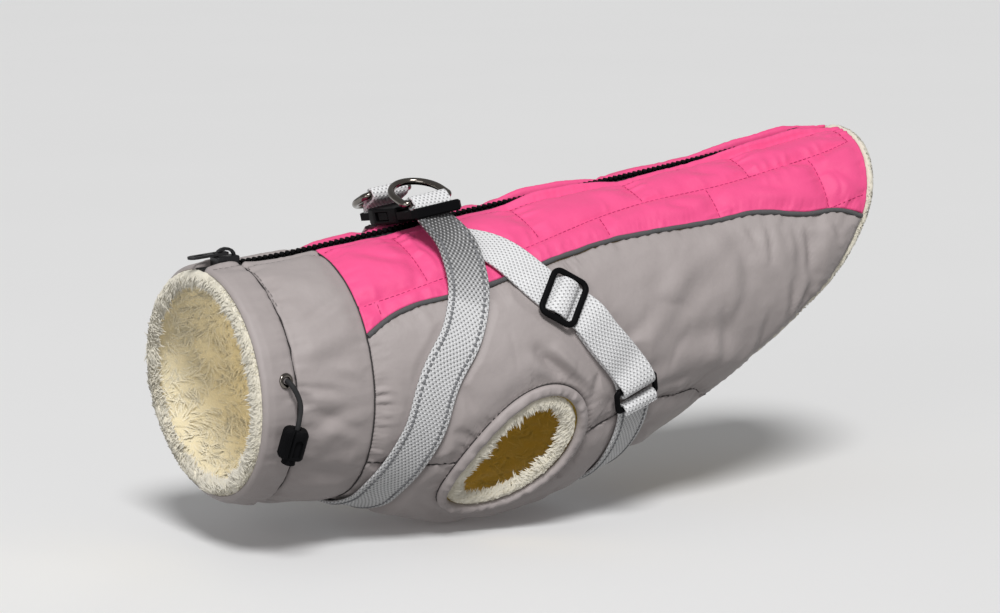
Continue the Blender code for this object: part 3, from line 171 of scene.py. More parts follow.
class Paint:
    """A material under construction: its node tree and its Principled shader."""

    def __init__(self, name, **constants):
        self.material = bpy.data.materials.new(name)
        self.material.use_nodes = True
        self.tree = self.material.node_tree
        self.shader = self.tree.nodes["Principled BSDF"]
        for socket, value in constants.items():
            self.shader.inputs[socket.replace("_", " ")].default_value = value

    def node(self, kind, settings=None, inputs=(), output=0):
        """Any node: settings first, then its sockets by number or name, and one of its outputs."""
        made = self.tree.nodes.new(kind)
        for key, value in (settings or {}).items():
            setattr(made, key, value)
        for key, value in (inputs.items() if isinstance(inputs, dict) else enumerate(inputs)):
            if isinstance(value, Value):
                self.tree.links.new(value.socket, made.inputs[key])
            else:
                made.inputs[key].default_value = value
        return Value(self, made.outputs[output])

    def mix(self, factor, *colours):
        """A colour between two colours, each a value or three numbers."""
        first, second = (end if isinstance(end, Value) else (*end, 1.0) for end in colours)
        return self.node("ShaderNodeMix", {"data_type": "RGBA"}, {0: factor, 6: first, 7: second}, 2)

    def coat_place(self):
        """The place on the coat in metres."""
        return self.node("ShaderNodeTexCoord", output="Object")

    def cloth_place(self):
        """The place down and across the cloth, in mm, from the piece's own UV map."""
        uv = self.node("ShaderNodeUVMap", {"uv_map": "cloth"})
        split = self.node("ShaderNodeSeparateXYZ", inputs=[uv]).socket.node
        return Value(self, split.outputs[0]) * CLOTH_UNIT, Value(self, split.outputs[1]) * CLOTH_UNIT

    def noise(self, scale, detail=2.0):
        """Smooth noise from 0 to 1, scale bumps to the metre on the coat."""
        inputs = {"Vector": self.coat_place(), "Scale": scale, "Detail": detail}
        return self.node("ShaderNodeTexNoise", inputs=inputs)

    def wave(self, place, pitch, shift=0.0):
        """A sine from -1 to 1 along a place in mm."""
        return (place * (2 * math.pi / pitch) + shift).math("SINE")

    def bump(self, height, distance, strength=1.0):
        """Height in units of distance (metres), felt by the light only."""
        inputs = {"Height": height, "Distance": distance, "Strength": strength}
        return self.node("ShaderNodeBump", inputs=inputs)

    def finish(self, **links):
        """Link the sockets that vary, and give the material."""
        for socket, value in links.items():
            self.tree.links.new(value.socket, self.shader.inputs[socket.replace("_", " ")])
        return self.material


def scaled(colour, share):
    """A colour made darker or lighter."""
    return tuple(share * value for value in colour)

# %% [markdown]
# ## Finishes
#
# The shell is thin woven nylon: almost smooth, with a fine plain weave, a little sheen where it turns
# away, and soft changes of tone.  The same weave serves the pink back and the grey flanks.  Real cloth
# shows its weave mostly as a bump, so both thread directions feed one Bump node; the hollows of the
# weave and of the crumples are also painted a little darker, a painted shade.

# %% Nylon
WEAVE_PITCH = 0.62


def nylon(name, light, dark):
    """Woven cloth between two colours, with a fine weave and soft crumples."""
    paint = Paint(name, Sheen_Weight=0.1, Sheen_Roughness=0.4, Specular_IOR_Level=0.35)
    down, across = paint.cloth_place()
    weave = paint.wave(down, WEAVE_PITCH) * paint.wave(across, WEAVE_PITCH)
    crumple = paint.noise(330.0, 3.0)
    tone = paint.noise(28.0, 3.0)
    # The weave and the crumples lighten the colour where the bump is high: a painted shade in their hollows.
    colour = paint.mix(tone * 0.7 + weave * 0.04 + crumple * 0.25, dark, light)
    relief = paint.bump(crumple * 0.75 + weave * 0.10, 0.00045, 0.55)
    return paint.finish(Base_Color=colour, Normal=relief, Roughness=0.44 + tone * 0.14)


finishes = {
    "pink_nylon": nylon("pink nylon", (0.92, 0.105, 0.29), (0.85, 0.075, 0.25)),
    "grey_nylon": nylon("grey nylon", (0.43, 0.384, 0.376), (0.345, 0.305, 0.298)),
}
print("finishes:", list(finishes))

# %% [markdown]
# Fleece is a knitted backing with its pile brushed into soft tufts.  Here the tufts are real geometry, so
# the finish only has to paint a tuft's shadowed root darker than its pale tip, a painted shade.  That
# share, 0 at the root and 1 at the tip, is kept on the mesh as an attribute and read back by an Attribute
# node.  Deep in the coat light goes from hair to hair and each time loses blue, so there the same pile
# looks darker and amber; that is painted shade too: a second, darker pair of colours, blended in by the
# distance down the coat.  The same scattering lets a little light out of every hair, even a shaded one,
# and a faint Emission of the hair's own colour paints that light in, a painted glow that lifts the shade.

# %% Fleece
# Between these two places the pile is painted darker and amber deeper in the coat: a painted shade.
PALE_AT, SHADED_AMBER_AT = -0.105, 0.0  # places down the coat between which the pile turns from pale to amber


def fleece(name, root, tip, glow, painted_shade_root=None, painted_shade_tip=None):
    """Pile between the colours of its roots and tips, and a second, darker pair of painted shade deep in the
    coat.
    """
    # The Emission is a painted glow in the pile's own colour, which lifts its shade.
    paint = Paint(
        name, Roughness=0.95, Sheen_Weight=0.4, Sheen_Roughness=0.6, Specular_IOR_Level=0.2,
        Emission_Strength=glow,
    )
    height = paint.node("ShaderNodeAttribute", {"attribute_name": "tip"}, output="Fac")
    curls = paint.noise(900.0, 4.0)
    # The curls lighten the pile where their bump is high and darken it in their hollows: a painted shade.
    share = height * 0.85 + curls * 0.2 + paint.noise(60.0) * 0.2 - 0.1
    colour = paint.mix(share, root, tip)
    # Painted shade: deeper in the coat the colours blend into the darker, amber pair.
    if painted_shade_root:
        down = paint.node("ShaderNodeSeparateXYZ", inputs=[paint.coat_place()])
        steps = [down, PALE_AT, SHADED_AMBER_AT, 0.0, 1.0]
        deep = paint.node("ShaderNodeMapRange", {"interpolation_type": "SMOOTHSTEP"}, steps)
        colour = paint.mix(deep, colour, paint.mix(share, painted_shade_root, painted_shade_tip))
    return paint.finish(Base_Color=colour, Emission_Color=colour, Normal=paint.bump(curls, 0.0005, 0.5))


finishes["fleece_edge"] = fleece("fleece edge", (0.64, 0.59, 0.46), (0.76, 0.72, 0.63), 0.12)
finishes["fleece"] = fleece(
    "fleece", (0.66, 0.59, 0.41), (0.74, 0.70, 0.585), 0.09, (0.44, 0.30, 0.045), (0.56, 0.42, 0.12)
)

# %% [markdown]
# Webbing is a thick plain weave of flat yarns: each yarn shows as a short bright bar, one row set half a
# bar off the next, with a dark dash where it dives under.  A cosine down the strap times one across it
# peaks at such staggered places, and its fifth power down the strap flattens the peaks into dashes.  The
# same height lifts the bars and paints the hollows darker, a painted shade.  The front strap is woven more
# openly, so its hollows are darker, and it is also painted darker overall and darkest near the buckle: a
# painted shade where it turns from the light and hangs in the buckle's shade.

# %% Webbing, piping, tape and cord
YARN_PITCH, ROW_PITCH, YARN_SLANT = 3.0, 2.1, 0.12  # mm down and across the webbing, and their slant


def webbing(name, dark, light, shaded=0.0):
    """Webbing between two greys; for the first shaded mm of its run it is painted darker: a painted shade
    where it hangs in the buckle's shade.
    """
    paint = Paint(name, Roughness=0.6, Specular_IOR_Level=0.45)
    down, across = paint.cloth_place()
    row = paint.wave(down + across * YARN_SLANT, YARN_PITCH, math.pi / 2)
    dashes = row * row * row * row * row * paint.wave(across, ROW_PITCH, math.pi / 2)
    height = 0.46 - dashes * 0.78 + paint.noise(2500.0, 3.0) * 0.3 + paint.noise(90.0) * 0.2
    # Painted shade: the height, and with it the grey, drops most at the strap's start and fades out by shaded
    # mm.
    if shaded:
        height = height - (1 - (down * (1 / shaded)).math("MINIMUM", 1.0)).math("POWER", 0.5) * 0.7
    # The grey follows the bump's height, so the hollows carry a painted shade.
    colour = paint.mix(height, (dark, dark, dark * 1.02), (light, light, light * 1.01))
    return paint.finish(Base_Color=colour, Normal=paint.bump(height, 0.0004, 0.8))


def woven_cord(name, colour, pitch, roughness):
    """Braid: two slanting sets of yarns, each a sine of down plus or minus across."""
    paint = Paint(name, Roughness=roughness, Specular_IOR_Level=0.35)
    down, across = paint.cloth_place()
    # The braid's hollows are painted darker with the same height that feeds its bump: a painted shade.
    shade = paint.wave(down + across, pitch) * paint.wave(down - across, pitch) * 0.5 + 0.5
    colour = paint.mix(shade, scaled(colour, 0.55), scaled(colour, 1.5))
    return paint.finish(Base_Color=colour, Normal=paint.bump(shade, 0.0002, 0.8))


finishes["webbing"] = webbing("webbing", 0.20, 0.90)
# The front strap's webbing is darker than the rest: partly its more open weave, partly a painted shade where
# it turns from the light.
finishes["shaded_open_webbing"] = webbing("shaded open webbing", 0.06, 0.78, 50.0)
finishes["piping"] = woven_cord("piping", (0.10, 0.10, 0.103), 0.9, 0.7)
finishes["zip_tape"] = woven_cord("zip tape", (0.022, 0.022, 0.024), 0.7, 0.85)
finishes["black_cord"] = woven_cord("black cord", (0.016, 0.016, 0.017), 0.8, 0.75)

# %% [markdown]
# Moulded plastic is black with a faint grain and a slightly uneven gloss, and the metal parts are dark
# plated steel that is almost a mirror.  The grain is fine noise in Bump, and the gloss is the same noise
# read larger, in Roughness.

# %% Plastic, metal, thread and floor
def hard(name, colour, roughness, metallic, grain, gloss=0.3):
    """A moulded or plated finish: a fine grain in its bump, slow wear in its colour and roughness."""
    paint = Paint(name, Metallic=metallic, Specular_IOR_Level=gloss)
    wear = paint.noise(120.0, 3.0)
    tone = paint.mix(wear, colour, scaled(colour, 1.35))
    fine = paint.bump(paint.noise(2600.0), 0.0001, grain)
    return paint.finish(Base_Color=tone, Roughness=roughness - 0.06 + wear * 0.14, Normal=fine)


finishes["black_plastic"] = hard("black plastic", (0.005, 0.005, 0.0055), 0.42, 0.0, 0.4, 0.02)
finishes["black_metal"] = hard("black metal", (0.03, 0.03, 0.032), 0.34, 0.8, 0.3)
finishes["gunmetal"] = hard("gunmetal", (0.15, 0.135, 0.12), 0.13, 1.0, 0.15)
for thread, colour, roughness in (
    ("pink", (0.42, 0.022, 0.12), 0.6),
    ("grey", (0.17, 0.155, 0.152), 0.6),
    ("dark", (0.15, 0.152, 0.16), 0.6),
    # The seam thread is near black and is laid thick down the seams below: it paints the seams' shadow.
    ("seam", (0.035, 0.031, 0.031), 0.8),
):
    finishes[f"thread_{thread}"] = hard(f"{thread} thread", colour, roughness, 0.0, 0.6)
paint = Paint("floor", Roughness=0.6)
finishes["floor"] = paint.finish(Base_Color=paint.mix(paint.noise(3.0), (0.86,) * 3, (0.88,) * 3))
print("finishes:", len(finishes))

# %% [markdown]
# ## Meshes from arrays
#
# Every new piece is a grid of points that numpy works out at once.  One helper turns such arrays into a
# mesh with foreach_set, which is many times faster than adding faces one by one.  It also turns the
# faces outwards by the sign of the closed shape's volume, hangs the piece on its body, gives it its
# finish and hides the solids that it stands for.

# %% Lines and faces
def unit(rows):
    """Vectors made one long."""
    return rows / np.linalg.norm(rows, axis=-1, keepdims=True)


def lengths(line):
    """Distance down a line at each of its places, from 0."""
    return np.append(0, np.cumsum(np.linalg.norm(np.diff(line, axis=0), axis=1)))


def stacked(*columns):
    """Arrays brought to one shape and set side by side in a new last axis."""
    return np.stack(np.broadcast_arrays(*columns), axis=-1)


def places_at(line, distance, at):
    """A line's places at some distances down it, from its own distances."""
    return stacked(*(np.interp(at, distance, column) for column in line.T))


def full_turn(count):
    """Even turns once round, in radians."""
    return np.linspace(0, 2 * math.pi, count, endpoint=False)


def ahead_round(line):
    """Unit steps ahead at each place of a closed line."""
    return unit(np.roll(line, -1, axis=0) - np.roll(line, 1, axis=0))


def quads(rows, columns, close_rows=False, close_columns=False):
    """Faces of a grid as corner numbers, and each corner's (row, column), counted on past a closed edge."""
    i, j = np.indices((rows - (not close_rows), columns - (not close_columns)))
    corners = np.stack([stacked(i + a, j + b) for a, b in ((0, 0), (1, 0), (1, 1), (0, 1))], axis=-2)
    corners = corners.reshape(-1, 4, 2)
    return corners[..., 0] % rows * columns + corners[..., 1] % columns, corners


def capped(rows, sides):
    """Faces of an open tube with a cap at each end, and each wall corner's (row, side)."""
    faces, corner = quads(rows, sides, False, True)
    caps = np.stack([np.arange(sides)[::-1], np.arange(sides) + (rows - 1) * sides])
    return [faces, caps], corner


def tube_points(middle, beside, out, radius, sides):
    """Rings round a line: middle + radius (cos turn * beside + sin turn * out), the radius in mm."""
    turn = full_turn(sides)[None, :, None]
    spokes = np.cos(turn) * beside[:, None] + np.sin(turn) * out[:, None]
    return middle[:, None] + spokes * radius[..., None] * MM


def signed_volume(points, faces):
    """Sum over the faces' triangles of one sixth of a . (b x c)."""
    total = 0.0
    for rows in faces:
        first = points[rows[:, 0]]
        for k in range(1, rows.shape[1] - 1):
            total += np.einsum("ij,ij->", first, np.cross(points[rows[:, k]], points[rows[:, k + 1]]))
    return total / 6

# %% Arrays into pieces
made = {}


def add_piece(
    name, points, faces, paint, replaces=None, uv=None, tip=None, body="coat", sharp=None, normals=None
):
    """A closed mesh in metres from points and lists of face rows.

    uv holds each face corner's place on the cloth in mm, tip each point's share of the way up a tuft,
    sharp an angle in degrees past which an edge is kept crisp, and normals the way each point's shading
    faces where that isn't the mesh's own.
    """
    points = np.asarray(points, dtype=float).reshape(-1, 3)
    if signed_volume(points - points.mean(axis=0), faces) < 0:
        faces = [rows[:, ::-1] for rows in faces]
        uv = None if uv is None else [rows[:, ::-1] for rows in uv]
    mesh = bpy.data.meshes.new(name)
    loops = np.concatenate([rows.ravel() for rows in faces])
    sizes = np.concatenate([np.full(len(rows), rows.shape[1]) for rows in faces])
    mesh.vertices.add(len(points))
    mesh.vertices.foreach_set("co", points.ravel())
    mesh.loops.add(len(loops))
    mesh.loops.foreach_set("vertex_index", loops.astype(np.int32))
    mesh.polygons.add(len(sizes))
    mesh.polygons.foreach_set("loop_start", (np.cumsum(sizes) - sizes).astype(np.int32))
    if uv is not None:
        layer = mesh.uv_layers.new(name="cloth")
        layer.data.foreach_set("uv", np.concatenate([rows.ravel() for rows in uv]) / CLOTH_UNIT)
    if tip is not None:
        mesh.attributes.new("tip", "FLOAT", "POINT").data.foreach_set("value", tip)
    mesh.update(calc_edges=True)
    mesh.shade_smooth()
    if sharp:
        mesh.set_sharp_from_angle(angle=math.radians(sharp))
    if normals is not None:
        mesh.normals_split_custom_set_from_vertices(normals)
    return dress(new_object(name, mesh), paint, replaces, body)


def dress(piece, paint, replaces=None, body="coat"):
    """Give a piece its finish and its body, and hide the solid that it stands for."""
    piece.data.materials.append(finishes[paint])
    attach(piece, body)
    if replaces:
        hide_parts(replaces)
    made[piece.name] = piece
    return piece

# %% [markdown]
# ## The body form
#
# All cloth lies on one form: upright ovals hung from the back line, whose size comes from a short table.
# A place on it has three numbers: along, the distance from the neck edge, angle, which turns from the
# middle of the back over the left flank (90) to the middle of the belly (180), and lift, the height over
# the form.  A spline through the table's rows keeps the form free of corners.

# %% Tables and splines
def table(columns, *rows):
    """Rows of numbers as named columns."""
    return dict(zip(columns.split(), np.array(rows, dtype=float).T))


SECTIONS = table(
    "along  top  depth  half_width",
    (0, 31.9, 110.5, 60.8),
    (22, 32.4, 114.2, 58.3),
    (62, 36.6, 121.7, 59.9),
    (110, 43.3, 142.2, 68.7),
    (165, 51.0, 147.1, 70.5),
    (225, 58.3, 133.1, 63.5),
    (290, 67.4, 115.8, 55.1),
    (365, 79.9, 99.1, 47.1),
)
LEAN = table("along degrees", (0, 2.2), (110, 1.5), (240, -0.7), (365, -0.7))
RIG_ALONG = 118.0
BACK_WALL = 6.45


def spline(knots, values, at):
    """Natural cubic spline through the knots, read at any places, and straight past its ends."""
    at = np.asarray(at, dtype=float)
    step = np.diff(knots)
    slope = np.diff(values) / step
    count = len(knots)
    system = np.eye(count)
    bend = np.zeros(count)
    for i in range(1, count - 1):
        system[i, i - 1:i + 2] = step[i - 1], 2 * (step[i - 1] + step[i]), step[i]
        bend[i] = 6 * (slope[i] - slope[i - 1])
    second = np.linalg.solve(system, bend)
    inside = np.clip(at, knots[0], knots[-1])
    i = np.clip(np.searchsorted(knots, inside) - 1, 0, count - 2)
    past, left = inside - knots[i], knots[i + 1] - inside
    value = (
        (second[i] * left**3 + second[i + 1] * past**3) / (6 * step[i])
        + (values[i] / step[i] - second[i] * step[i] / 6) * left
        + (values[i + 1] / step[i] - second[i + 1] * step[i] / 6) * past
    )
    end_slope = np.where(
        at < knots[0],
        slope[0] - step[0] * (2 * second[0] + second[1]) / 6,
        slope[-1] + step[-1] * (second[-2] + 2 * second[-1]) / 6,
    )
    return value + end_slope * (at - inside)


def read(rows, column, at, by="along"):
    """One column of a table, read smoothly at places of another column."""
    return spline(rows[by], rows[column], at)

# %% The form and its normal
CREST = float(read(SECTIONS, "top", RIG_ALONG))


def form(along, angle):
    """The body form in mm: an upright oval section hung from the back line at each distance along."""
    turn = np.radians(angle)
    lean = np.radians(read(LEAN, "degrees", along))
    drop = read(SECTIONS, "depth", along) * (1 - np.cos(turn)) / 2
    x = np.asarray(along) - RIG_ALONG + drop * np.sin(lean)
    y = -read(SECTIONS, "half_width", along) * np.sin(turn)
    z = read(SECTIONS, "top", along) - CREST + BACK_WALL - drop * np.cos(lean)
    return stacked(x, y, z)


def slopes(along, angle):
    """The form's change for each mm along and for each degree round."""
    half = 0.5
    by_along = (form(np.add(along, half), angle) - form(np.subtract(along, half), angle)) / (2 * half)
    by_angle = (form(along, np.add(angle, half)) - form(along, np.subtract(angle, half))) / (2 * half)
    return by_along, by_angle


def outwards(along, angle):
    """The form's unit normal: by_angle x by_along."""
    by_along, by_angle = slopes(along, angle)
    return unit(np.cross(by_angle, by_along))


def surface(along, angle, lift=0.0):
    """A place on the coat in metres: the body form, moved out along its normal by lift."""
    return (form(along, angle) + outwards(along, angle) * np.asarray(lift, dtype=float)[..., None]) * MM


def mirrored(angle):
    """The same angle on the other flank."""
    return 360.0 - angle


def on_side(angle, side):
    """An angle of the left flank as it is, or mirrored for the right one."""
    return angle if side == "left" else mirrored(angle)


def folded(angle):
    """The left flank's angle for a place on either flank."""
    return 180 - np.abs(180 - np.mod(angle, 360))


SIDES = ("left", "right")
print("back line from", form(0, 0).round(1), "to", form(360, 0).round(1))

# %% [markdown]
# ## The drawcord
#
# An elastic cord leaves the eyelet in the neck band, bows a little and runs down into its lock.  A cord
# is a curve with a round bevel: its points lie on its middle line and Blender sweeps the circle.  It is a
# POLY spline because its points are close together already.

# %% Drawcord
CORD_RADIUS = 1.25
CORD_ROUTE = np.array([
    (-104.55, -59.97, -52.12), (-104.14, -61.78, -52.65), (-103.40, -63.05, -53.91), (-102.55, -63.64, -55.55),
    (-101.72, -64.01, -57.27), (-101.00, -64.35, -59.03), (-100.48, -64.67, -60.87), (-100.21, -64.95, -62.77),
    (-100.20, -65.16, -64.70), (-100.47, -65.24, -66.61), (-100.95, -65.35, -68.48), (-101.51, -65.74, -70.34),
    (-101.97, -65.83, -72.18), (-102.25, -65.26, -74.01), (-102.53, -64.72, -75.85), (-102.82, -64.18, -77.68),
    (-103.10, -63.64, -79.52),
])


def make_drawcord():
    """A curve through the route, swept with the cord's radius and closed at both ends."""
    line = bpy.data.curves.new("cord", "CURVE")
    line.dimensions = "3D"
    line.bevel_depth = CORD_RADIUS * MM
    line.bevel_resolution = 3
    line.use_fill_caps = True
    course = line.splines.new("POLY")
    course.points.add(len(CORD_ROUTE) - 1)
    course.points.foreach_set("co", np.column_stack([CORD_ROUTE * MM, np.ones(len(CORD_ROUTE))]).ravel())
    return dress(new_object("cord", line), "black_cord", "drawcord")


cord = make_drawcord()

# %% [markdown]
# ## Seams, folds and puckers
#
# Padded cloth is sewn flat at its seams and swells between them, and along a seam the longer outer layer
# gathers into short puckers that run square to it.  All of that is a height over the form.  To find it,
# each place needs its distance to the nearest seam and how far along the seam that is, so one function
# gives both for any list of seam places.  The main folds are listed one by one, from a start to an end,
# each with its own width and depth.

# %% Sizes of the cloth
SEAM_GAP = 0.3
SEAM_LIFT = -0.8
WALL_INSIDE = -2.4
LINING_OUT = -3.3
LINING_IN = -6.4
PUFF = 2.0
PUFF_REACH = 7.0
CHANNEL_SEAM = 18.0
COLLAR_SEAM = 57.5
PANEL_START = COLLAR_SEAM + SEAM_GAP / 2
ZIP_HALF_GAP = 5.0
PIPING_HALF_GAP = 1.35
PIPING_END = 346.0
BELLY_SEAM_END = 258.5
MM_PER_DEGREE = 1.2566

PIPING = table(
    "along angle",
    (57, 65), (74, 56), (101, 51), (129, 48), (172, 44), (209, 44), (242, 48), (260, 50), (287, 54),
    (312, 63), (332, 68), (350, 79),
)
BELLY_SEAM = table(
    "along angle",
    (-10, 126), (57, 126), (86, 124), (98, 121), (133, 120), (168, 117), (210, 116), (222, 120), (236, 125),
    (250, 132), (259, 146), (268, 165),
)
HEM = table(
    "angle along",
    (0, 360), (30, 359), (60, 353), (75, 347), (90, 337), (100, 329), (110, 317), (120, 301), (130, 285),
    (140, 270), (150, 258), (160, 249), (170, 244), (180, 242),
)
QUILT_LINE = table(
    "along angle",
    (50, 52), (72, 48), (108, 41), (150, 36), (194, 30), (234, 28), (264, 30), (322, 30), (342, 29), (365, 24),
)
QUILT_PITCH = 65.0
UPPER_ROW_START = 95.0
LOWER_ROW_START = 67.0
LAST_CROSS_LINE = 355.0
ARMHOLE = {
    "along": 131.9, "angle": 122.2, "half_length": 38.5, "half_width": 24.8, "turn": -49.5, "taper": 0.15,
}
CUFF_WIDTH = 5.0
CUFF_GAP = 0.3


def hem(angle):
    """Distance of the hem from the neck at an angle, the same on both flanks."""
    return read(HEM, "along", folded(angle), by="angle")


def over_half_width(mm, along):
    """The angle that a distance across the coat's middle spans: arcsin of its share of the half width."""
    return np.degrees(np.arcsin(mm / read(SECTIONS, "half_width", along)))


def zip_edge(along):
    """Angle of a panel's edge beside the zip."""
    return over_half_width(ZIP_HALF_GAP, along)


print("hem from", hem(0).round(), "mm on the back to", hem(180).round(), "mm on the belly")

# %% Noise, distances and relief
def hashed(i, j, seed):
    """A repeatable number from -1 to 1 for whole numbers: the fraction of a large sine."""
    value = np.sin(i * 127.1 + j * 311.7 + seed * 74.7) * 43758.5453
    return 2 * (value - np.floor(value)) - 1


def ripple(x, y=0.0, seed=0):
    """Smooth hills about one unit wide: each cell's four corner values blended with t * t * (3 - 2 * t)."""
    i, j = np.floor(x), np.floor(y)
    u, v = x - i, y - j
    u, v = u * u * (3 - 2 * u), v * v * (3 - 2 * v)
    low = hashed(i, j, seed) * (1 - u) + hashed(i + 1, j, seed) * u
    high = hashed(i, j + 1, seed) * (1 - u) + hashed(i + 1, j + 1, seed) * u
    return low * (1 - v) + high * v


def on_cloth(along, angle):
    """Places as (mm along, mm round), near enough flat to measure distances in the cloth."""
    return stacked(along, np.multiply(angle, MM_PER_DEGREE))


def nearest(along, angle, seam):
    """Distance in the cloth to a seam's nearest place, and that place's distance down the seam (mm)."""
    here = on_cloth(along, angle)
    seam = on_cloth(seam[:, 0], seam[:, 1])
    down = lengths(seam)

    away = np.empty(here.shape[:-1])
    run = np.empty(here.shape[:-1])
    for row, place in enumerate(here):
        gap = ((place[:, None] - seam[None]) ** 2).sum(axis=-1)
        pick = gap.argmin(axis=-1)
        away[row] = np.sqrt(np.take_along_axis(gap, pick[:, None], axis=-1)[:, 0])
        run[row] = down[pick]
    return away, run


def puckers(away, run, depth=0.5, width=6.5, reach=3.2, seed=0):
    """Short ridges square to a seam: sharp-backed noise along the seam, strongest reach mm away from it."""
    share = away / reach
    fade = share * np.exp(1 - share)
    strength = 0.6 + 0.4 * ripple(run / 31, 0.5, seed + 5)
    drift = 0.25 * ripple(run / 9, away / 9, seed + 9)
    ridge = 1 - 2 * np.abs(ripple(run / width + drift, away / 26, seed))
    return 1.7 * depth * strength * fade * (ridge - 0.25)


def valley(away, depth=0.8, width=1.2):
    """The tight furrow that a row of stitches pulls: a narrow bell below the cloth."""
    return -depth * np.exp(-((away / width) ** 2))


def fold_relief(along, angle, folds):
    """Listed troughs (-) and ridges (+): a bell across a wavering line, and a weaker one the other way
    beside it, both tapering to the line's ends."""
    place = on_cloth(along, angle)
    relief = np.zeros(place.shape[:-1])
    for k in range(len(folds["depth"])):
        start = on_cloth(folds["along"][k], folds["angle"][k])
        reach = on_cloth(folds["along_end"][k], folds["angle_end"][k]) - start
        length, width = np.hypot(*reach), folds["width"][k]
        part = ((place - start) @ reach) / length**2
        across = ((place - start) @ np.array([-reach[1], reach[0]])) / length
        across = (across + 0.35 * width * ripple(part * length / 14, k, 7)) / width
        past = np.clip(np.abs(part - 0.5) - 0.5, 0, None) * length / (1.4 * width)
        taper = np.exp(-(past**2)) * (0.45 + 0.55 * np.sin(math.pi * np.clip(part, 0, 1)))
        bells = np.exp(-(across**2)) - 0.55 * np.exp(-(((across - 1.7) / 1.1) ** 2))
        relief += 1.5 * folds["depth"][k] * taper * bells
    return relief


def softness(along, angle, seed):
    """The loose cloth's own unevenness: broad swells, and a few soft creases where two noises meet."""
    x, y = along, np.asarray(angle) * MM_PER_DEGREE
    swell = 0.8 * ripple(x / 27, y / 19, seed) + 0.3 * ripple(x / 9, y / 7, seed + 4)
    bend = 3.0 * ripple(x / 17, y / 17, seed + 3)
    crease = np.exp(-((ripple((x + bend) / 15, (y - bend) / 22, seed + 1) / 0.17) ** 2))
    where = np.clip(ripple(x / 24, y / 24, seed + 2), 0, 1)
    return swell - 1.1 * crease * where

# %% [markdown]
# ## Straps before cloth
#
# The harness straps are sewn down on the coat, so the cloth is pressed flat under them.  Their routes are
# therefore needed before the panels: each is a spline through a few places on the form.

# %% Strap routes
FRONT_STRAP = table(
    "along angle",
    (112, 21), (115, 30), (114, 40), (111, 51), (105.5, 62), (100, 70), (93, 78), (86, 90), (82, 104),
    (78, 115), (73, 130), (70, 142), (69, 154), (67, 167), (67, 180),
)
REAR_STRAP = table(
    "along angle",
    (112, 21), (121, 25.5), (131, 32), (143, 47), (154, 59), (165, 67), (173.5, 77), (181, 85),
    (187.5, 91.5), (192.4, 97.8), (195.8, 105.5),
)
BELLY_STRAP = table(
    "along angle", (195.8, 105.5), (198, 112), (199.5, 119), (200, 128), (200, 140), (200, 158), (200, 180)
)


def edge(along, angle):
    """Places as rows of (along, angle)."""
    return stacked(along, angle)


def run_of(route):
    """Distance down a strap's middle line (mm) at each of its rows."""
    return lengths(form(route["along"], route["angle"]))


def walk(route, run):
    """Place (along, angle) on a strap's middle line at distances down it."""
    knots = run_of(route)
    return spline(knots, route["along"], run), spline(knots, route["angle"], run)


ROUTES = (FRONT_STRAP, REAR_STRAP, BELLY_STRAP)
STRAP_PLACES = np.concatenate([edge(*walk(route, np.arange(0, run_of(route)[-1], 2.0))) for route in ROUTES])
ROOF, ROOF_REACH, ROOF_SLOPE, DEEPEST = -0.1, 11.0, 0.35, -1.85


def pressed(along, angle, lift):
    """Cloth flattened by the straps: no higher than a low roof that rises away from them.

    No trough goes below DEEPEST, so the wall stays half a millimetre thick.
    """
    away, _ = nearest(along, folded(angle), STRAP_PLACES)
    roof = ROOF + np.clip(away - ROOF_REACH, 0, None) * ROOF_SLOPE
    return np.maximum(np.minimum(lift, roof), DEEPEST)


print("strap runs in mm:", [round(run_of(route)[-1], 1) for route in ROUTES])

# %% [markdown]
# ## Panels
#
# A panel is a grid between four edges: its places are blended from the edges as in a Coons patch, so the
# grid's outer rows lie exactly on the seams.  The grid is lifted to the panel's relief for the outer
# face.  The inner face is hidden behind the fleece, so it takes only every fourth place, and a rim of
# seven-cornered faces joins the fine edge to the coarse one and closes the wall.

# %% Grids and walls
def coons(top, bottom, front, rear):
    """A grid of (along, angle): both pairs of edges blended, less the blend of the four corners."""
    u = np.linspace(0, 1, len(top))[:, None, None]
    v = np.linspace(0, 1, len(front))[None, :, None]
    corners = (
        (1 - u) * (1 - v) * top[0] + u * (1 - v) * top[-1] + (1 - u) * v * bottom[0] + u * v * bottom[-1]
    )
    grid = (1 - v) * top[:, None] + v * bottom[:, None] + (1 - u) * front[None] + u * rear[None] - corners
    return grid[..., 0], grid[..., 1]


def hem_edge(start, end, count):
    """Places down the hem from one angle to another."""
    angle = np.linspace(start, end, count)
    return edge(hem(angle), angle)


def rim_of(grid):
    """What lies on a grid's four edges, in order round it, each corner once."""
    return np.concatenate([grid[:-1, 0], grid[-1, :-1], grid[:0:-1, -1], grid[0, :0:-1]])


def border_of(along, angle, step=3):
    """Places on the four edges of a grid, in order round it."""
    places = edge(along, angle)
    return np.concatenate([places[::step, 0], places[-1, ::step], places[::-step, -1], places[0, ::-step]])


SKIP = 4


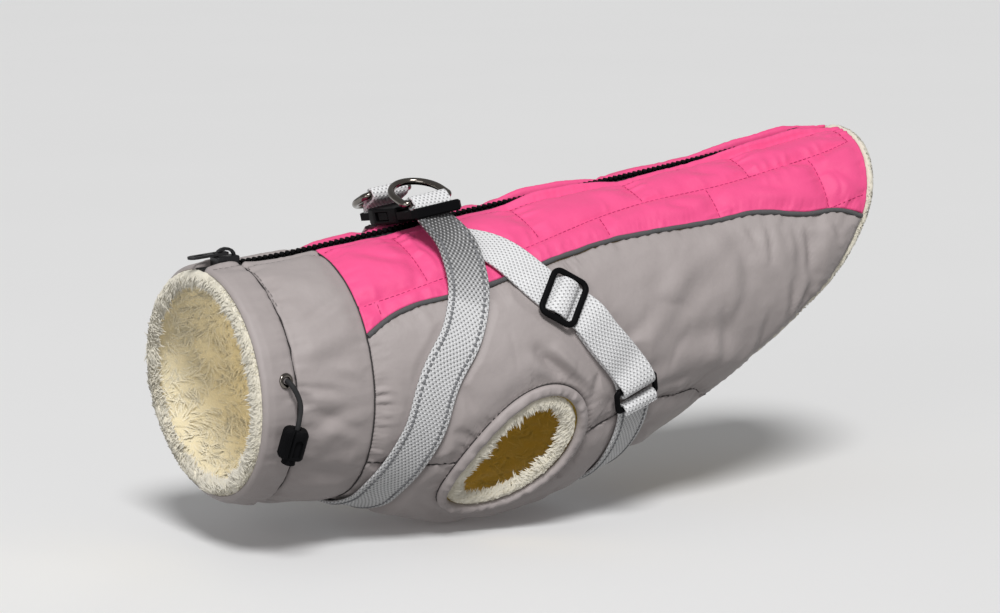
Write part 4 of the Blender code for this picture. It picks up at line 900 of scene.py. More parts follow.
def cloth(name, along, angle, fine, replaces, paint="grey_nylon", plain=WALL_INSIDE):
    """A closed wall whose fine face has the relief and whose plain face takes every SKIP-th place."""
    coarse = slice(None, None, SKIP), slice(None, None, SKIP)
    number = np.arange(along.size).reshape(along.shape)
    back_shape = number[coarse].shape
    back_number = along.size + np.arange(number[coarse].size).reshape(back_shape)
    rim, back_rim = rim_of(number), rim_of(back_number)
    start = np.arange(0, len(rim), SKIP)
    fan = [rim[(start + k) % len(rim)] for k in range(SKIP, -1, -1)]
    wall_rim = np.stack([*fan, back_rim, np.roll(back_rim, -1)], axis=1)
    faces = [quads(*along.shape)[0], along.size + quads(*back_shape)[0][:, ::-1], wall_rim]
    layers = (along, angle, fine), (along[coarse], angle[coarse], plain)
    points = np.concatenate([surface(*layer).reshape(-1, 3) for layer in layers])
    places = np.concatenate([on_cloth(*layer[:2]).reshape(-1, 2) for layer in layers])
    return add_piece(name, points, faces, paint, replaces, [places[rows] for rows in faces])


def whole(count):
    """The nearest number of places whose spans divide by SKIP."""
    return int(round(count / SKIP)) * SKIP + 1


def faces_of(*names):
    """How many faces some pieces have."""
    return [len(made[name].data.polygons) for name in names]

# %% [markdown]
# ### Neck band
#
# The neck edge is a flat tunnel for the drawcord: its outer layer is gathered, so shallow flutes run
# across it, and the seam that closes it puckers.  It is one strip from one side of the zip round the
# throat to the other side.

# %% Neck band and collar
COLLAR_FOLDS = table(
    "along angle along_end angle_end width depth",
    (22, 70, 50, 62, 6.0, 0.8),
    (22, 104, 46, 96, 5.0, -1.0),
    (24, 128, 56, 134, 6.0, -1.0),
    (24, 152, 52, 148, 6.0, 0.9),
    (22, 168, 50, 176, 6.0, -0.9),
    (20, 30, 44, 36, 6.0, 0.6),
    (24, 84, 38, 88, 3.0, -0.9),
    (26, 95, 52, 108, 3.5, -0.7),
    (30, 52, 54, 44, 3.0, -0.5),
    (38, 76, 56, 84, 3.0, 0.5),
)
ZIP_STITCH = 6.0  # distance of the stitch line beside the zip from the panel's edge
BAND_LIFT = table(
    "along lift", (-0.2, -2.2), (0.5, -0.9), (1.6, 0.0), (5.5, 0.7), (12, 0.8), (15.5, 0.6), (16.8, 0.1),
    (17.4, -0.8), (17.85, -1.9),
)
LIP = table(
    "along height",
    (0, 0.6), (20, 1.0), (60, 1.0), (90, 0.8), (130, 0.4), (152, 0.6), (164, 2.8), (176, 4.2), (198, 4.3),
    (211, 2.6), (226, 1.1), (256, 1.0), (276, 2.2), (290, 4.4), (316, 5.0), (334, 4.8), (346, 2.4), (356, 0.8),
    (360, 0.2),
)


def from_zip(along, angle):
    """Distance round the cloth from the panel's edge beside the zip (mm), on either flank."""
    return (folded(angle) - zip_edge(along)) * MM_PER_DEGREE


def zip_side(along, angle):
    """The stitch line's furrow beside the zip with its puckers, and the lip that hides some teeth."""
    past = from_zip(along, angle) - ZIP_STITCH
    groove = valley(past, 0.7) + puckers(np.abs(past), along, 0.22, 4.5, 2.2, 11)
    height = np.interp(along, LIP["along"], LIP["height"]) + 0.4 * ripple(along / 15, 0.0, 14)
    return groove + height * np.exp(-(((past + ZIP_STITCH - 1.7) / 2.1) ** 2))


def swell(away, reach=PUFF_REACH):
    """The padding's rise away from a seam: 0 at the seam and 1 well inside."""
    return 1 - np.exp(-((away / reach) ** 2))


def band_relief(along, angle):
    """The tunnel's crown, with flutes across it that are deepest beside its seam."""
    run = angle * MM_PER_DEGREE
    crown = np.clip(np.sin(np.clip(along, 0, CHANNEL_SEAM) / CHANNEL_SEAM * math.pi), 0, 1)
    flutes = 0.45 * ripple(run / 7.5, along / 30, 31) + 0.25 * ripple(run / 3.4, along / 16, 32)
    seam = puckers(CHANNEL_SEAM - along, run, 0.5, 4.6, 2.6, 33)
    rise = np.interp(along, BAND_LIFT["along"], BAND_LIFT["lift"])
    return rise + crown * (flutes + zip_side(along, angle)) + seam


def collar_relief(along, angle):
    """Puffed between its two seams and the zip's stitch line, with listed folds."""
    front, rear = along - CHANNEL_SEAM, COLLAR_SEAM - along
    run = angle * MM_PER_DEGREE
    beside = np.clip(from_zip(along, angle), 0, None)
    rise = swell(np.minimum(np.minimum(front, rear), beside))
    folds = fold_relief(along, folded(angle), COLLAR_FOLDS) + softness(along, angle, 41)
    small = puckers(front, run, 0.6, 4.8, 2.8, 33) + puckers(rear, run, 0.4, 6.0, 2.6, 43)
    small += valley(front, 1.1, 0.9) + valley(rear, 0.6) + zip_side(along, angle)
    return pressed(along, angle, SEAM_LIFT + rise * (PUFF + folds) + small)


ROUND_PLACES = whole(316)  # about one for each mm round the neck


def round_grid(start, end, step):
    """A grid from one side of the zip round to the other, between two distances from the neck edge."""
    along = np.linspace(start, end, whole((end - start) / step))[:, None]
    share = np.linspace(0, 1, ROUND_PLACES)
    side = zip_edge(along)
    return np.broadcast_to(along, (len(along), len(share))).copy(), side + share * (360 - 2 * side)


along, angle = round_grid(0.0, CHANNEL_SEAM - SEAM_GAP / 2, 0.75)
cloth("neck_tunnel", along, angle, band_relief(along, angle), "neck_band")
along, angle = round_grid(CHANNEL_SEAM + SEAM_GAP / 2, COLLAR_SEAM - SEAM_GAP / 2, 1.0)
cloth("collar_shell", along, angle, collar_relief(along, angle), "collar")
print("neck and collar:", faces_of("neck_tunnel", "collar_shell"))

# %% [markdown]
# ### Quilted back
#
# The pink back is quilted: one long stitched line runs down each side, and shorter cross lines in two
# staggered rows shut the padding into cells.  A cell's height is the product of the rises away from each
# line near it, which gives the plump middle and the crisp valley of real quilting.  Puckers run square
# to every stitched line.

# %% Back
SADDLE_FOLDS = table(
    "along angle along_end angle_end width depth",
    (70, 20, 88, 30, 4.0, -0.7),
    (78, 54, 90, 44, 3.5, -0.6),
    (150, 14, 168, 26, 5.0, -0.6),
    (176, 40, 190, 36, 4.0, -0.6),
    (206, 12, 214, 24, 5.0, 0.5),
    (236, 34, 250, 42, 3.5, -0.8),
    (262, 16, 276, 26, 4.0, -0.6),
    (290, 38, 306, 46, 4.0, -0.7),
    (300, 14, 318, 24, 4.0, 0.5),
    (330, 40, 346, 56, 4.0, -0.8),
    (340, 14, 352, 26, 4.0, -0.5),
)


def quilt_relief(along, angle, border):
    """Sewn-down lines and puffed cells: SEAM_LIFT + PUFF times the rise from each line near the place."""
    to_line = (angle - read(QUILT_LINE, "angle", along)) * MM_PER_DEGREE
    start = np.where(to_line < 0, UPPER_ROW_START, LOWER_ROW_START)
    past = np.mod(along - start + QUILT_PITCH / 2, QUILT_PITCH) - QUILT_PITCH / 2
    line_away, cross_away = np.abs(to_line), np.abs(past)
    edge_away, edge_run = nearest(along, angle, border)
    run = angle * MM_PER_DEGREE
    rise = swell(line_away, 5.5) * swell(cross_away, 5.5) * swell(edge_away)
    small = puckers(line_away, along, 0.7, 6.5, 3.4, 51)
    small += puckers(cross_away, run, 0.75, 6.0, 3.4, 52) * swell(line_away, 2.0)
    beside = np.clip(from_zip(along, angle), 0, None)
    small += puckers(edge_away, edge_run, 0.5, 6.0, 3.0, 53) * swell(beside, 5.0)
    small += zip_side(along, angle) + valley(to_line, 0.7) + valley(past, 0.6) * swell(line_away, 1.5)
    folds = fold_relief(along, angle, SADDLE_FOLDS) + 0.7 * softness(along, angle, 54)
    return pressed(along, angle, SEAM_LIFT + rise * (PUFF + folds) + small)


def saddle_grid(step=0.95, width=58):
    """Half of the quilted back, from the zip to the piping, a place for each step of mm."""
    start, end = PANEL_START, float(hem(0))
    top_along = np.linspace(start, end, whole((end - start) / step))
    last_row = LAST_CROSS_LINE - (UPPER_ROW_START - LOWER_ROW_START)
    squeeze = (PIPING_END - last_row) / (end - last_row)
    low_along = np.where(top_along < last_row, top_along, last_row + (top_along - last_row) * squeeze)
    top = edge(top_along, zip_edge(top_along))
    bottom = edge(low_along, read(PIPING, "angle", low_along) - PIPING_HALF_GAP / MM_PER_DEGREE)
    rows = whole(width / step)
    front = edge(start, np.linspace(top[0, 1], bottom[0, 1], rows))
    return coons(top, bottom, front, hem_edge(top[-1, 1], bottom[-1, 1], rows))


along, angle = saddle_grid()
saddle_border = border_of(along, angle)
lift = quilt_relief(along, angle, saddle_border)
for side in SIDES:
    cloth(f"back_{side}", along, on_side(angle, side), lift, f"saddle_{side}", "pink_nylon")
print("back:", faces_of("back_left", "back_right"))

# %% [markdown]
# ### Flanks and belly
#
# The grey flanks hang looser than the back: long soft folds fan out below the piping and from the hem,
# and short ones radiate from the armhole.  The armhole is an egg whose narrow end points down and
# forward, cut half from the flank and half from the belly panel.

# %% Armhole and belly seam
def armhole(turn, grow=0.0):
    """The armhole's outline at a turn (radians): a tapered ellipse, turned in the cloth, grown by some mm."""
    tilt = math.radians(ARMHOLE["turn"])
    x = (ARMHOLE["half_length"] + grow) * np.cos(turn)
    y = (ARMHOLE["half_width"] + grow) * np.sin(turn) * (1 + ARMHOLE["taper"] * np.cos(turn))
    along = ARMHOLE["along"] + x * math.cos(tilt) - y * math.sin(tilt)
    angle = ARMHOLE["angle"] + (x * math.sin(tilt) + y * math.cos(tilt)) / MM_PER_DEGREE
    return along, angle


def armhole_meets_seam(grow):
    """The turns at which the belly seam runs into the armhole, behind it and in front of it."""
    turn = np.linspace(0, 2 * math.pi, 1441)
    along, angle = armhole(turn, grow)
    below = angle > read(BELLY_SEAM, "angle", along)
    change = np.flatnonzero(below[1:] != below[:-1])
    return turn[change[0]], turn[change[-1]]


def flank_edge(start, grow, shift, upper, counts):
    """The belly seam from a start to the hem, round the upper or lower side of the armhole."""
    rear, front = armhole_meets_seam(grow)
    turn = np.linspace(front, rear + (2 * math.pi if upper else 0), counts[1])
    round_along, round_angle = armhole(turn, grow)
    before = np.linspace(start, round_along[0], counts[0] + 1)[:-1]
    after = np.linspace(round_along[-1], BELLY_SEAM_END, counts[2] + 1)[1:]
    moved = shift / MM_PER_DEGREE
    round_angle[[0, -1]] += moved
    before, after = (edge(part, read(BELLY_SEAM, "angle", part) + moved) for part in (before, after))
    return np.concatenate([before, edge(round_along, round_angle), after])


def facing_edge(counts, *stops):
    """Distances along the edge opposite to a flank_edge, even between four stops."""
    knots = np.cumsum([0, counts[0], counts[1] - 1, counts[2]])
    return np.interp(np.arange(knots[-1] + 1), knots, stops)


def side_grid(grow, start, extra, rows, counts, top_gap=None):
    """A flank's grid down to the belly seam and the armhole, from the piping or, with no gap, the zip."""
    bottom = flank_edge(start, grow, -SEAM_GAP / 2, True, counts)
    bottom[-1] += (extra, 0)
    top_end = float(hem(0)) if top_gap is None else PIPING_END
    top_along = facing_edge(counts, start, 101.0, 178.0, top_end + extra)
    if top_gap is None:
        top = edge(top_along, SEAM_GAP / 2 / MM_PER_DEGREE)
    else:
        top = edge(top_along, read(PIPING, "angle", top_along) + top_gap)
    front = edge(start, np.linspace(top[0, 1], bottom[0, 1], rows))
    rear = hem_edge(top[-1, 1], bottom[-1, 1], rows)
    rear[:, 0] += extra
    rear[-1] = bottom[-1]
    return coons(top, bottom, front, rear)


def belly_grid(grow, start, extra, rows, counts):
    """The belly's grid: a half from the left seam to the middle, and its mirror."""
    seam = flank_edge(start, grow, SEAM_GAP / 2, False, counts)
    seam[-1] += (extra, 0)
    middle = edge(facing_edge(counts, start, 88.0, 176.0, float(hem(180)) + extra), 180.0)
    front = edge(start, np.linspace(seam[0, 1], 180.0, rows))
    rear = hem_edge(seam[-1, 1], 180.0, rows)
    rear[:, 0] += extra
    rear[0], rear[-1] = seam[-1], middle[-1]
    along, angle = coons(seam, middle, front, rear)
    along = np.concatenate([along, along[:, -2::-1]], axis=1)
    return along, np.concatenate([angle, mirrored(angle[:, -2::-1])], axis=1)


print("belly seam meets the armhole at", [round(math.degrees(turn)) for turn in armhole_meets_seam(0.0)])

# %% Flanks
FLANK_FOLDS = table(
    "along angle along_end angle_end width depth",
    (66, 104, 72, 122, 5.0, -1.3),
    (80, 92, 92, 112, 6.0, 1.0),
    (176, 92, 206, 80, 5.0, -1.1),
    (178, 108, 214, 100, 6.0, -1.3),
    (214, 78, 250, 62, 7.0, 0.9),
    (262, 58, 276, 88, 6.0, -1.3),
    (300, 64, 306, 100, 6.0, -1.2),
    (322, 72, 318, 92, 5.0, 0.9),
    (226, 92, 262, 104, 7.0, -1.1),
    (240, 108, 268, 122, 7.0, 1.0),
    (274, 57, 277, 68, 1.8, -0.8),
    (286, 60, 284, 78, 1.8, -1.0),
    (298, 64, 300, 84, 2.4, 0.6),
    (309, 69, 311, 94, 2.2, -1.5),
    (326, 73, 330, 84, 1.8, -0.8),
    (313, 98, 305, 119, 4.0, -2.2),
    (299, 94, 299, 118, 2.2, -1.0),
    (284, 106, 280, 126, 3.0, -0.8),
    (268, 82, 260, 108, 4.6, -0.6),
    (245, 56, 232, 80, 7.0, -0.5),
    (141, 78, 162, 100, 3.4, -3.0),
    (149, 79, 168, 97, 2.6, 1.8),
    (173, 94, 166, 106, 2.8, -1.4),
    (168, 111, 186, 119, 2.8, -1.6),
    (88, 104, 114, 113, 4.2, -1.1),
    (185, 72, 196, 86, 5.5, -1.3),
    (255, 92, 256, 111, 4.0, -1.1),
    (214, 110, 236, 116, 3.2, -0.8),
    (190, 112, 206, 108, 2.8, 0.6),
    (150, 62, 160, 74, 3.0, -0.7),
    (134, 56, 150, 70, 4.0, 0.6),
    (96, 84, 106, 98, 3.2, -0.8),
    (72, 84, 78, 104, 3.2, -0.6),
)
ROUND_CUFF = CUFF_WIDTH + CUFF_GAP


def flank_relief(along, angle, border, folds, seed):
    """Puffed between its seams, with listed folds and puckers square to the seams."""
    away, run = nearest(along, folded(angle), border)
    small = puckers(away, run, 0.65, 6.4, 3.2, seed) + valley(away, 0.6)
    loose = fold_relief(along, folded(angle), folds) + 0.75 * softness(along, folded(angle), seed + 1)
    return pressed(along, angle, SEAM_LIFT + swell(away) * (PUFF + loose) + small)


along, angle = side_grid(
    ROUND_CUFF, PANEL_START, 0.0, whole(84), (32, 109, 80), PIPING_HALF_GAP / MM_PER_DEGREE
)
lift = flank_relief(along, angle, border_of(along, angle), FLANK_FOLDS, 61)
for side in SIDES:
    cloth(f"flank_{side}", along, on_side(angle, side), lift, f"side_{side}")

# %% Belly
BELLY_FOLDS = table(
    "along angle along_end angle_end width depth",
    (62, 142, 64, 176, 5.0, -1.2),
    (84, 150, 82, 180, 6.0, 1.2),
    (112, 160, 140, 172, 6.0, -1.0),
    (160, 158, 186, 146, 6.0, 1.1),
    (176, 172, 206, 164, 6.0, -1.2),
    (216, 140, 232, 166, 6.0, 1.0),
    (70, 130, 88, 138, 3.5, -0.8),
    (66, 150, 74, 164, 3.5, 0.7),
    (96, 146, 112, 160, 4.0, -0.8),
    (210, 128, 226, 138, 3.5, -0.7),
    (222, 156, 236, 172, 3.5, -0.8),
)
along, angle = belly_grid(ROUND_CUFF, PANEL_START, 0.0, whole(52), (32, 109, 60))
half = slice(along.shape[1] // 2 + 1)
half_border = border_of(along[:, half], angle[:, half])
half_border = half_border[half_border[:, 1] < 178]  # the middle is not a seam
cloth("belly_shell", along, angle, flank_relief(along, angle, half_border, BELLY_FOLDS, 71), "belly")
print("flank and belly:", faces_of("flank_left", "belly_shell"))

# %% [markdown]
# ### Cuffs and piping
#
# A folded band edges each armhole, and a filled cord is sewn in between the pink back and the grey
# flank.  Both are a small section carried round a line on the form: the band's section is a table of
# how far it grows from the armhole and how high it stands, and the piping's is a circle that wavers a
# little where the stitches pull it.

# %% Cuffs and piping
CUFF_SECTION = table(
    "grow lift",
    (0.5, -2.4), (0.05, -1.2), (0.0, 0.3), (0.6, 1.3), (1.7, 1.75), (3.0, 1.6), (4.2, 1.1), (4.9, 0.2),
    (5.0, -0.9), (4.8, -2.4),
)
CUFF_PLACES, CUFF_SIDES, CUFF_LENGTH, CUFF_STEP = 260, 19, 200, 0.7
ARMHOLE_RADIUS = 32
PIPING_PLACES, PIPING_SIDES, PIPING_RADIUS, PIPING_LIFT = 300, 10, 1.25, -0.75


def make_cuff(side):
    """The section carried round the armhole, with gathers that grow with its height."""
    turn = full_turn(CUFF_PLACES)[:, None]
    knots = np.arange(len(CUFF_SECTION["grow"]))
    share = np.linspace(0, knots[-1], CUFF_SIDES)
    grow, lift = (np.interp(share, knots, CUFF_SECTION[column]) for column in ("grow", "lift"))
    along, angle = armhole(turn, grow[None])
    run = turn * ARMHOLE_RADIUS
    crown = 0.42 * np.clip(lift, 0, None)
    gathers = crown * (ripple(run / 5.2, grow / 9, 81) + 0.7 * ripple(run / 2.3, grow / 7, 82))
    faces, corner = quads(CUFF_PLACES, CUFF_SIDES, True, True)
    uv = [corner * np.array([CUFF_LENGTH / CUFF_PLACES, CUFF_STEP])]
    points = surface(along, on_side(angle, side), lift + gathers)
    add_piece(f"cuff_{side}", points, [faces], "grey_nylon", f"armhole_cuff_{side}", uv)


def make_piping(side):
    """A round cord down the seam, whose place and thickness waver a little."""
    along = np.linspace(PANEL_START, PIPING_END, PIPING_PLACES)
    angle = on_side(read(PIPING, "angle", along) + 0.22 * ripple(along / 8, 0.0, 91), side)
    middle = surface(along, angle, PIPING_LIFT + 0.25 * ripple(along / 6, 3.0, 92))
    out = outwards(along, angle)
    beside = np.cross(unit(np.gradient(middle, axis=0)), out)
    radius = PIPING_RADIUS + 0.12 * ripple(along / 5, 7.0, 93)
    points = tube_points(middle, beside, out, radius[:, None], PIPING_SIDES)
    faces, corner = capped(PIPING_PLACES, PIPING_SIDES)
    girth = corner[..., 1] / PIPING_SIDES * radius.mean() * 2 * math.pi
    uv = [stacked(lengths(middle)[corner[..., 0]] / MM, girth), np.zeros((2, PIPING_SIDES, 2))]
    add_piece(f"piping_cord_{side}", points, faces, "piping", f"piping_{side}", uv)


for side in SIDES:
    make_cuff(side)
    make_piping(side)
print("cuff and piping:", faces_of("cuff_left", "piping_cord_left"))

# %% [markdown]
# ## Fleece
#
# The lining is one soft pile all through the coat.  Its backing is a wall like the panels', but with the
# fine face inwards and covered with lumps, and at the neck, the hem and the armholes it rolls over the
# edge.  On top of it lie locks of hair: each is a thin tapered blade, bent towards its neighbours' common
# lie.  Hair particles would look as well, but blades are plain mesh, so they bake and export like every
# other piece.  They are dense where the coat is open and sparse deep inside.

# %% Backing
LINING_NECK = -1.0
LINING_HEM = 4.5
LINING_INSET = 3.0


def pile(along, angle):
    """Lumps of pile: two sizes of noise, in mm, towards the inside."""
    x, y = along, angle * MM_PER_DEGREE
    lumps = 1.1 * ripple(x / 7.5, y / 7.5, 101) + 0.8 * ripple(x / 3.6, y / 3.6, 102)
    return LINING_IN - 0.3 - np.clip(lumps, -0.5, 1.4)


def lining(name, along, angle, replaces):
    """A wall of the lining, whose fine face is the pile."""
    cloth(name, along, angle, pile(along, angle), replaces, "fleece", LINING_OUT)


along, angle = side_grid(-LINING_INSET, LINING_NECK, LINING_HEM, whole(84), (32, 73, 64))
for side in SIDES:
    lining(f"fleece_{side}", along, on_side(angle, side), f"lining_{side}")
along, angle = belly_grid(-LINING_INSET, LINING_NECK, LINING_HEM, whole(36), (32, 73, 44))
lining("fleece_belly", along, angle, "lining_belly")
print("lining:", faces_of("fleece_left", "fleece_right", "fleece_belly"))

# %% Rolled edges
ROLL_SIDES = 14
ROLL_TIP = 0.45  # the pile's shade on the rolls, as a share of the way up a tuft


def roll(name, along, angle, lift, radius, seed):
    """A lumpy closed tube along a line on the form; returns its middle line and frame for the tufts."""
    middle = surface(along, angle, lift)
    out = outwards(along, angle)
    beside = unit(np.cross(ahead_round(middle), out))
    turn = full_turn(ROLL_SIDES)
    run = np.arange(len(middle))[:, None]
    lumps = 0.2 * ripple(run / 3, turn * 1.6, seed) + 0.12 * ripple(run / 1.4, turn * 3, seed + 1)
    size = radius * (1 + lumps) * (1 + 0.2 * ripple(run / 17, 0.0, seed + 2))
    size[-2:] = 0.5 * (size[-2:] + size[:2][::-1])
    points = tube_points(middle, beside, out, size, ROLL_SIDES)
    faces, _ = quads(len(middle), ROLL_SIDES, True, True)
    add_piece(name, points, [faces], "fleece_edge", tip=np.full(points.size // 3, ROLL_TIP))
    return middle, beside, out, radius * MM


around = np.linspace(0, 360, 330, endpoint=False)
rolls = {
    "neck": roll("fleece_neck_roll", 0 * around, around, -5.3, 2.6, 111),
    "hem": roll("fleece_hem_roll", hem(around) + 3.0, around, -4.5, 2.7, 121),
}
along, angle = armhole(full_turn(210), -2.7)
for side in SIDES:
    rolls[side] = roll(f"fleece_armhole_roll_{side}", along, on_side(angle, side), -3.8, 2.4, 131)
print("rolls:", list(rolls))

# %% Tufts
CORNERS = 3  # of a lock's two rings, before its tip


def tufts(name, root, grow, lie, length, width, seed, shade, paint="fleece"):
    """Bent locks: a point's middle is root + length (t grow + t * t lie), its half width width (1 - t) ** 0.6.

    A lock is flat, with its broad side and its shading towards the pile's own outside, shade, so that all
    of them look soft together.
    """
    random = np.random.default_rng(seed)
    count = len(root)
    steps = np.array([0.0, 0.55])
    long = (length * random.uniform(0.6, 1.2, count) * MM)[:, None, None]
    wide = (width * random.uniform(0.75, 1.25, count) * MM)[:, None, None, None]
    side = unit(np.cross(grow + lie, shade + 0.25 * random.normal(size=(count, 3))))
    at = np.append(steps, 1.0)[None, :, None]
    middle = root[:, None] + long * (at * grow[:, None] + at**2 * lie[:, None])
    ring = np.stack([side, 0.45 * shade, -side], axis=1)
    taper = ((1 - steps) ** 0.6)[None, :, None, None]
    points = (middle[:, :2, None] + wide * taper * ring[:, None]).reshape(count, -1, 3)
    points = np.concatenate([points, middle[:, 2:]], axis=1)
    turns = [(k, (k + 1) % CORNERS) for k in range(CORNERS)]
    wall = [[a, b, CORNERS + b, CORNERS + a] for a, b in turns]
    point = [[CORNERS + a, CORNERS + b, 2 * CORNERS] for a, b in turns] + [[2, 1, 0]]
    shift = points.shape[1] * np.arange(count)[:, None, None]
    faces = [(np.array(wall) + shift).reshape(-1, 4), (np.array(point) + shift).reshape(-1, 3)]
    tip = np.append(np.repeat(steps, CORNERS), 1.0)[None] * random.uniform(0.6, 1.0, count)[:, None]
    own = np.concatenate([ring, ring, ring[:, :1] * 0], axis=1)
    normals = unit(shade[:, None] + 0.22 * own).reshape(-1, 3)
    add_piece(name, points, faces, paint, tip=np.clip(tip, 0, 1).ravel(), normals=normals)


def lining_tufts(name, along, angle, seed, length, width):
    """Tufts on the lining's inner face, growing inwards and combed down along a slow common swirl."""
    random = np.random.default_rng(seed)
    by_along, by_angle = (unit(step) for step in slopes(along, angle))
    out = outwards(along, angle)
    swirl = 2 * math.pi * ripple(along / 16, angle * MM_PER_DEGREE / 16, 141)[:, None]
    lie = np.cos(swirl) * by_along + np.sin(swirl) * by_angle + random.normal(scale=0.28, size=out.shape)
    grow = unit(-out + 0.25 * random.normal(size=out.shape))
    root = surface(along, angle, pile(along, angle) + 0.5)
    tufts(name, root, grow * 0.3, lie * 0.95 + 0.05 * out, length, width, seed + 1, -out)


def scatter(count, start, end, seed):
    """Even random places between two distances from the neck, off the armholes and the hem."""
    random = np.random.default_rng(seed)
    along, angle = random.uniform(start, end, count), random.uniform(0.0, 360.0, count)
    tilt = math.radians(ARMHOLE["turn"])
    x, y = along - ARMHOLE["along"], (folded(angle) - ARMHOLE["angle"]) * MM_PER_DEGREE
    down, across = x * math.cos(tilt) + y * math.sin(tilt), y * math.cos(tilt) - x * math.sin(tilt)
    hole = (down / (ARMHOLE["half_length"] - 2.5)) ** 2 + (across / (ARMHOLE["half_width"] - 2.5)) ** 2
    keep = (hole > 1) & (along < hem(angle) - 3.0)
    return along[keep], angle[keep]


def roll_tufts(name, edge_roll, count, facing, seed, length, width, towards=0.8):
    """Tufts on the side of a rolled edge that shows, in clumps, combed over it into the opening.

    facing is the way out of the opening; towards says how far the tufts' shading turns that way, so that
    none looks dark from behind.
    """
    middle, beside, out, radius = edge_roll
    random = np.random.default_rng(seed)
    pick = random.integers(0, len(middle), count)
    turn = random.uniform(0, 2 * math.pi, count)[:, None]
    grow = np.cos(turn) * beside[pick] + np.sin(turn) * out[pick]
    facing = unit(np.asarray(facing, float))
    seen = grow @ facing > -0.45
    pick, grow = pick[seen], grow[seen]
    inward = unit(middle.mean(axis=0) - middle[pick])
    ahead = np.cross(out[pick], beside[pick])
    root = middle[pick] + grow * radius * 0.95 + ahead * random.uniform(-0.5, 0.5, (len(pick), 1)) * MM
    swirl = ripple(pick / 11, 0.0, seed)[:, None]
    lie = 0.75 * inward + 0.6 * ahead * swirl + 0.2 * random.normal(size=grow.shape)
    clump = 0.75 + 0.6 * np.clip(ripple(pick / 4.0, 5.0, seed + 2), 0, 1)
    shade = unit(grow * (1.05 - towards) + facing * towards + np.array([0.0, 0.0, 0.45]))
    tufts(name, root, grow * 0.3, lie * 0.9, length * clump, width, seed + 1, shade, "fleece_edge")


TUFT_AREAS = (
    # part, places tried, from and to mm from the neck edge, seed, length and width in mm
    ("neck", 9500, 4.5, 75.0, 151, 5.5, 0.6),
    ("chest", 4400, 75.0, 200.0, 153, 6.5, 0.85),
    ("rear", 5000, 200.0, 364.0, 155, 6.5, 0.9),
)
for part, count, start, end, seed, length, width in TUFT_AREAS:
    lining_tufts(f"fleece_tufts_{part}", *scatter(count, start, end, seed), seed + 1, length, width)
hole_out = outwards(ARMHOLE["along"], ARMHOLE["angle"])
roll_tufts("fleece_tufts_neck_edge", rolls["neck"], 11500, (-1.0, 0.0, 0.15), 161, 4.2, 0.66)
roll_tufts("fleece_tufts_hem_edge", rolls["hem"], 7000, (0.75, 0.0, -0.65), 163, 3.2, 0.7, 0.15)
roll_tufts("fleece_tufts_armhole_left", rolls["left"], 5600, hole_out, 165, 3.8, 0.7)
roll_tufts("fleece_tufts_armhole_right", rolls["right"], 5600, hole_out * (1, -1, 1), 167, 3.8, 0.7)
print("tufts:", sum(len(piece.data.vertices) // 7 for name, piece in made.items() if "tufts" in name))

# %% [markdown]
# ## Webbing
#
# A strap is a section carried down its route at a given lift.  The section is a flat oblong with round
# edges: its places are found straight across the route in the coat's own metric, so the webbing keeps
# its width where it curves over the flank.  Where a strap turns round a bar, the path of run and lift
# simply turns back on itself.

# %% Straps
WEBBING_WIDTH, WEBBING_THICKNESS = 20.0, 1.4
WEBBING_EDGE, FLAT_SHARE = 0.035, 0.96  # round edge and flat middle, as shares of half the width
STRAP_LIFT = 1.3
FRONT_START = -4.5
FRONT_DROP_LEFT = table(
    "run lift",
    (FRONT_START, 12.6), (0, 9.9), (7, 7.4), (14, 5.2), (22, 3.8), (33, 3.2), (46, 1.6), (55, STRAP_LIFT),
)
FRONT_DROP_RIGHT = table("run lift", (0, 3.1), (33, 3.1), (46, 1.6), (55, STRAP_LIFT))
REAR_DROP = {
    "left": table("run lift", (0, 4.8), (5, 2.6), (10, 1.5), (16, STRAP_LIFT)),
    "right": table("run lift", (0, STRAP_LIFT), (16, STRAP_LIFT)),
}
SLIDER_AT, SLIDER_LENGTH, SLIDER_WIDTH, SLIDER_BAR = 67.0, 20.6, 27.0, 3.0
SLIDER_THICKNESS, SLIDER_MIDDLE_BAR, SLIDER_LIFT = 2.4, 1.6, 3.2
RING_LENGTH, RING_WIDTH, RING_WIRE, RING_LIFT, RING_SEAT = 13.0, 27.0, 1.4, 3.8, 0.5


def strap_section():
    """The webbing's section as (share across, share of half thickness), round at both edges."""
    turn = np.linspace(math.pi / 2, -math.pi / 2, 7)[1:-1]
    round_edge = stacked(1 - WEBBING_EDGE + WEBBING_EDGE * np.cos(turn), np.sin(turn))
    upper = stacked(np.linspace(-FLAT_SHARE, FLAT_SHARE, 15), 1.0)
    lower = stacked(np.linspace(FLAT_SHARE, -FLAT_SHARE, 7), -1.0)
    return np.concatenate([upper, round_edge, lower, round_edge[::-1] * (-1, 1)])


SECTION = strap_section()


def beside_route(route, run):
    """Steps in along and in angle that make one mm straight across a strap."""
    along, angle = walk(route, run)
    ahead_along, ahead_angle = walk(route, run + 0.5)
    by_along, by_angle = slopes(along, angle)
    course = by_along * (ahead_along - along)[:, None] + by_angle * (ahead_angle - angle)[:, None]
    across = unit(np.cross(course, np.cross(by_angle, by_along)))
    size = np.stack([by_along, by_angle], axis=1)
    steps = np.linalg.solve(size @ size.transpose(0, 2, 1), (size @ across[..., None]))[..., 0]
    return steps[:, 0], steps[:, 1]


def finer(path, step=1.1):
    """A path of two columns read again at even steps through a spline by its own length."""
    path = np.asarray(path, dtype=float)
    length = lengths(path)
    at = np.linspace(0, length[-1], int(length[-1] / step) + 2)
    return stacked(*(spline(length, column, at) for column in path.T)), at


def half_thickness(path):
    """Steps of half the webbing's thickness, square to a path of two columns."""
    ahead = unit(np.gradient(path, axis=0))
    return stacked(-ahead[:, 1], ahead[:, 0]) * WEBBING_THICKNESS / 2


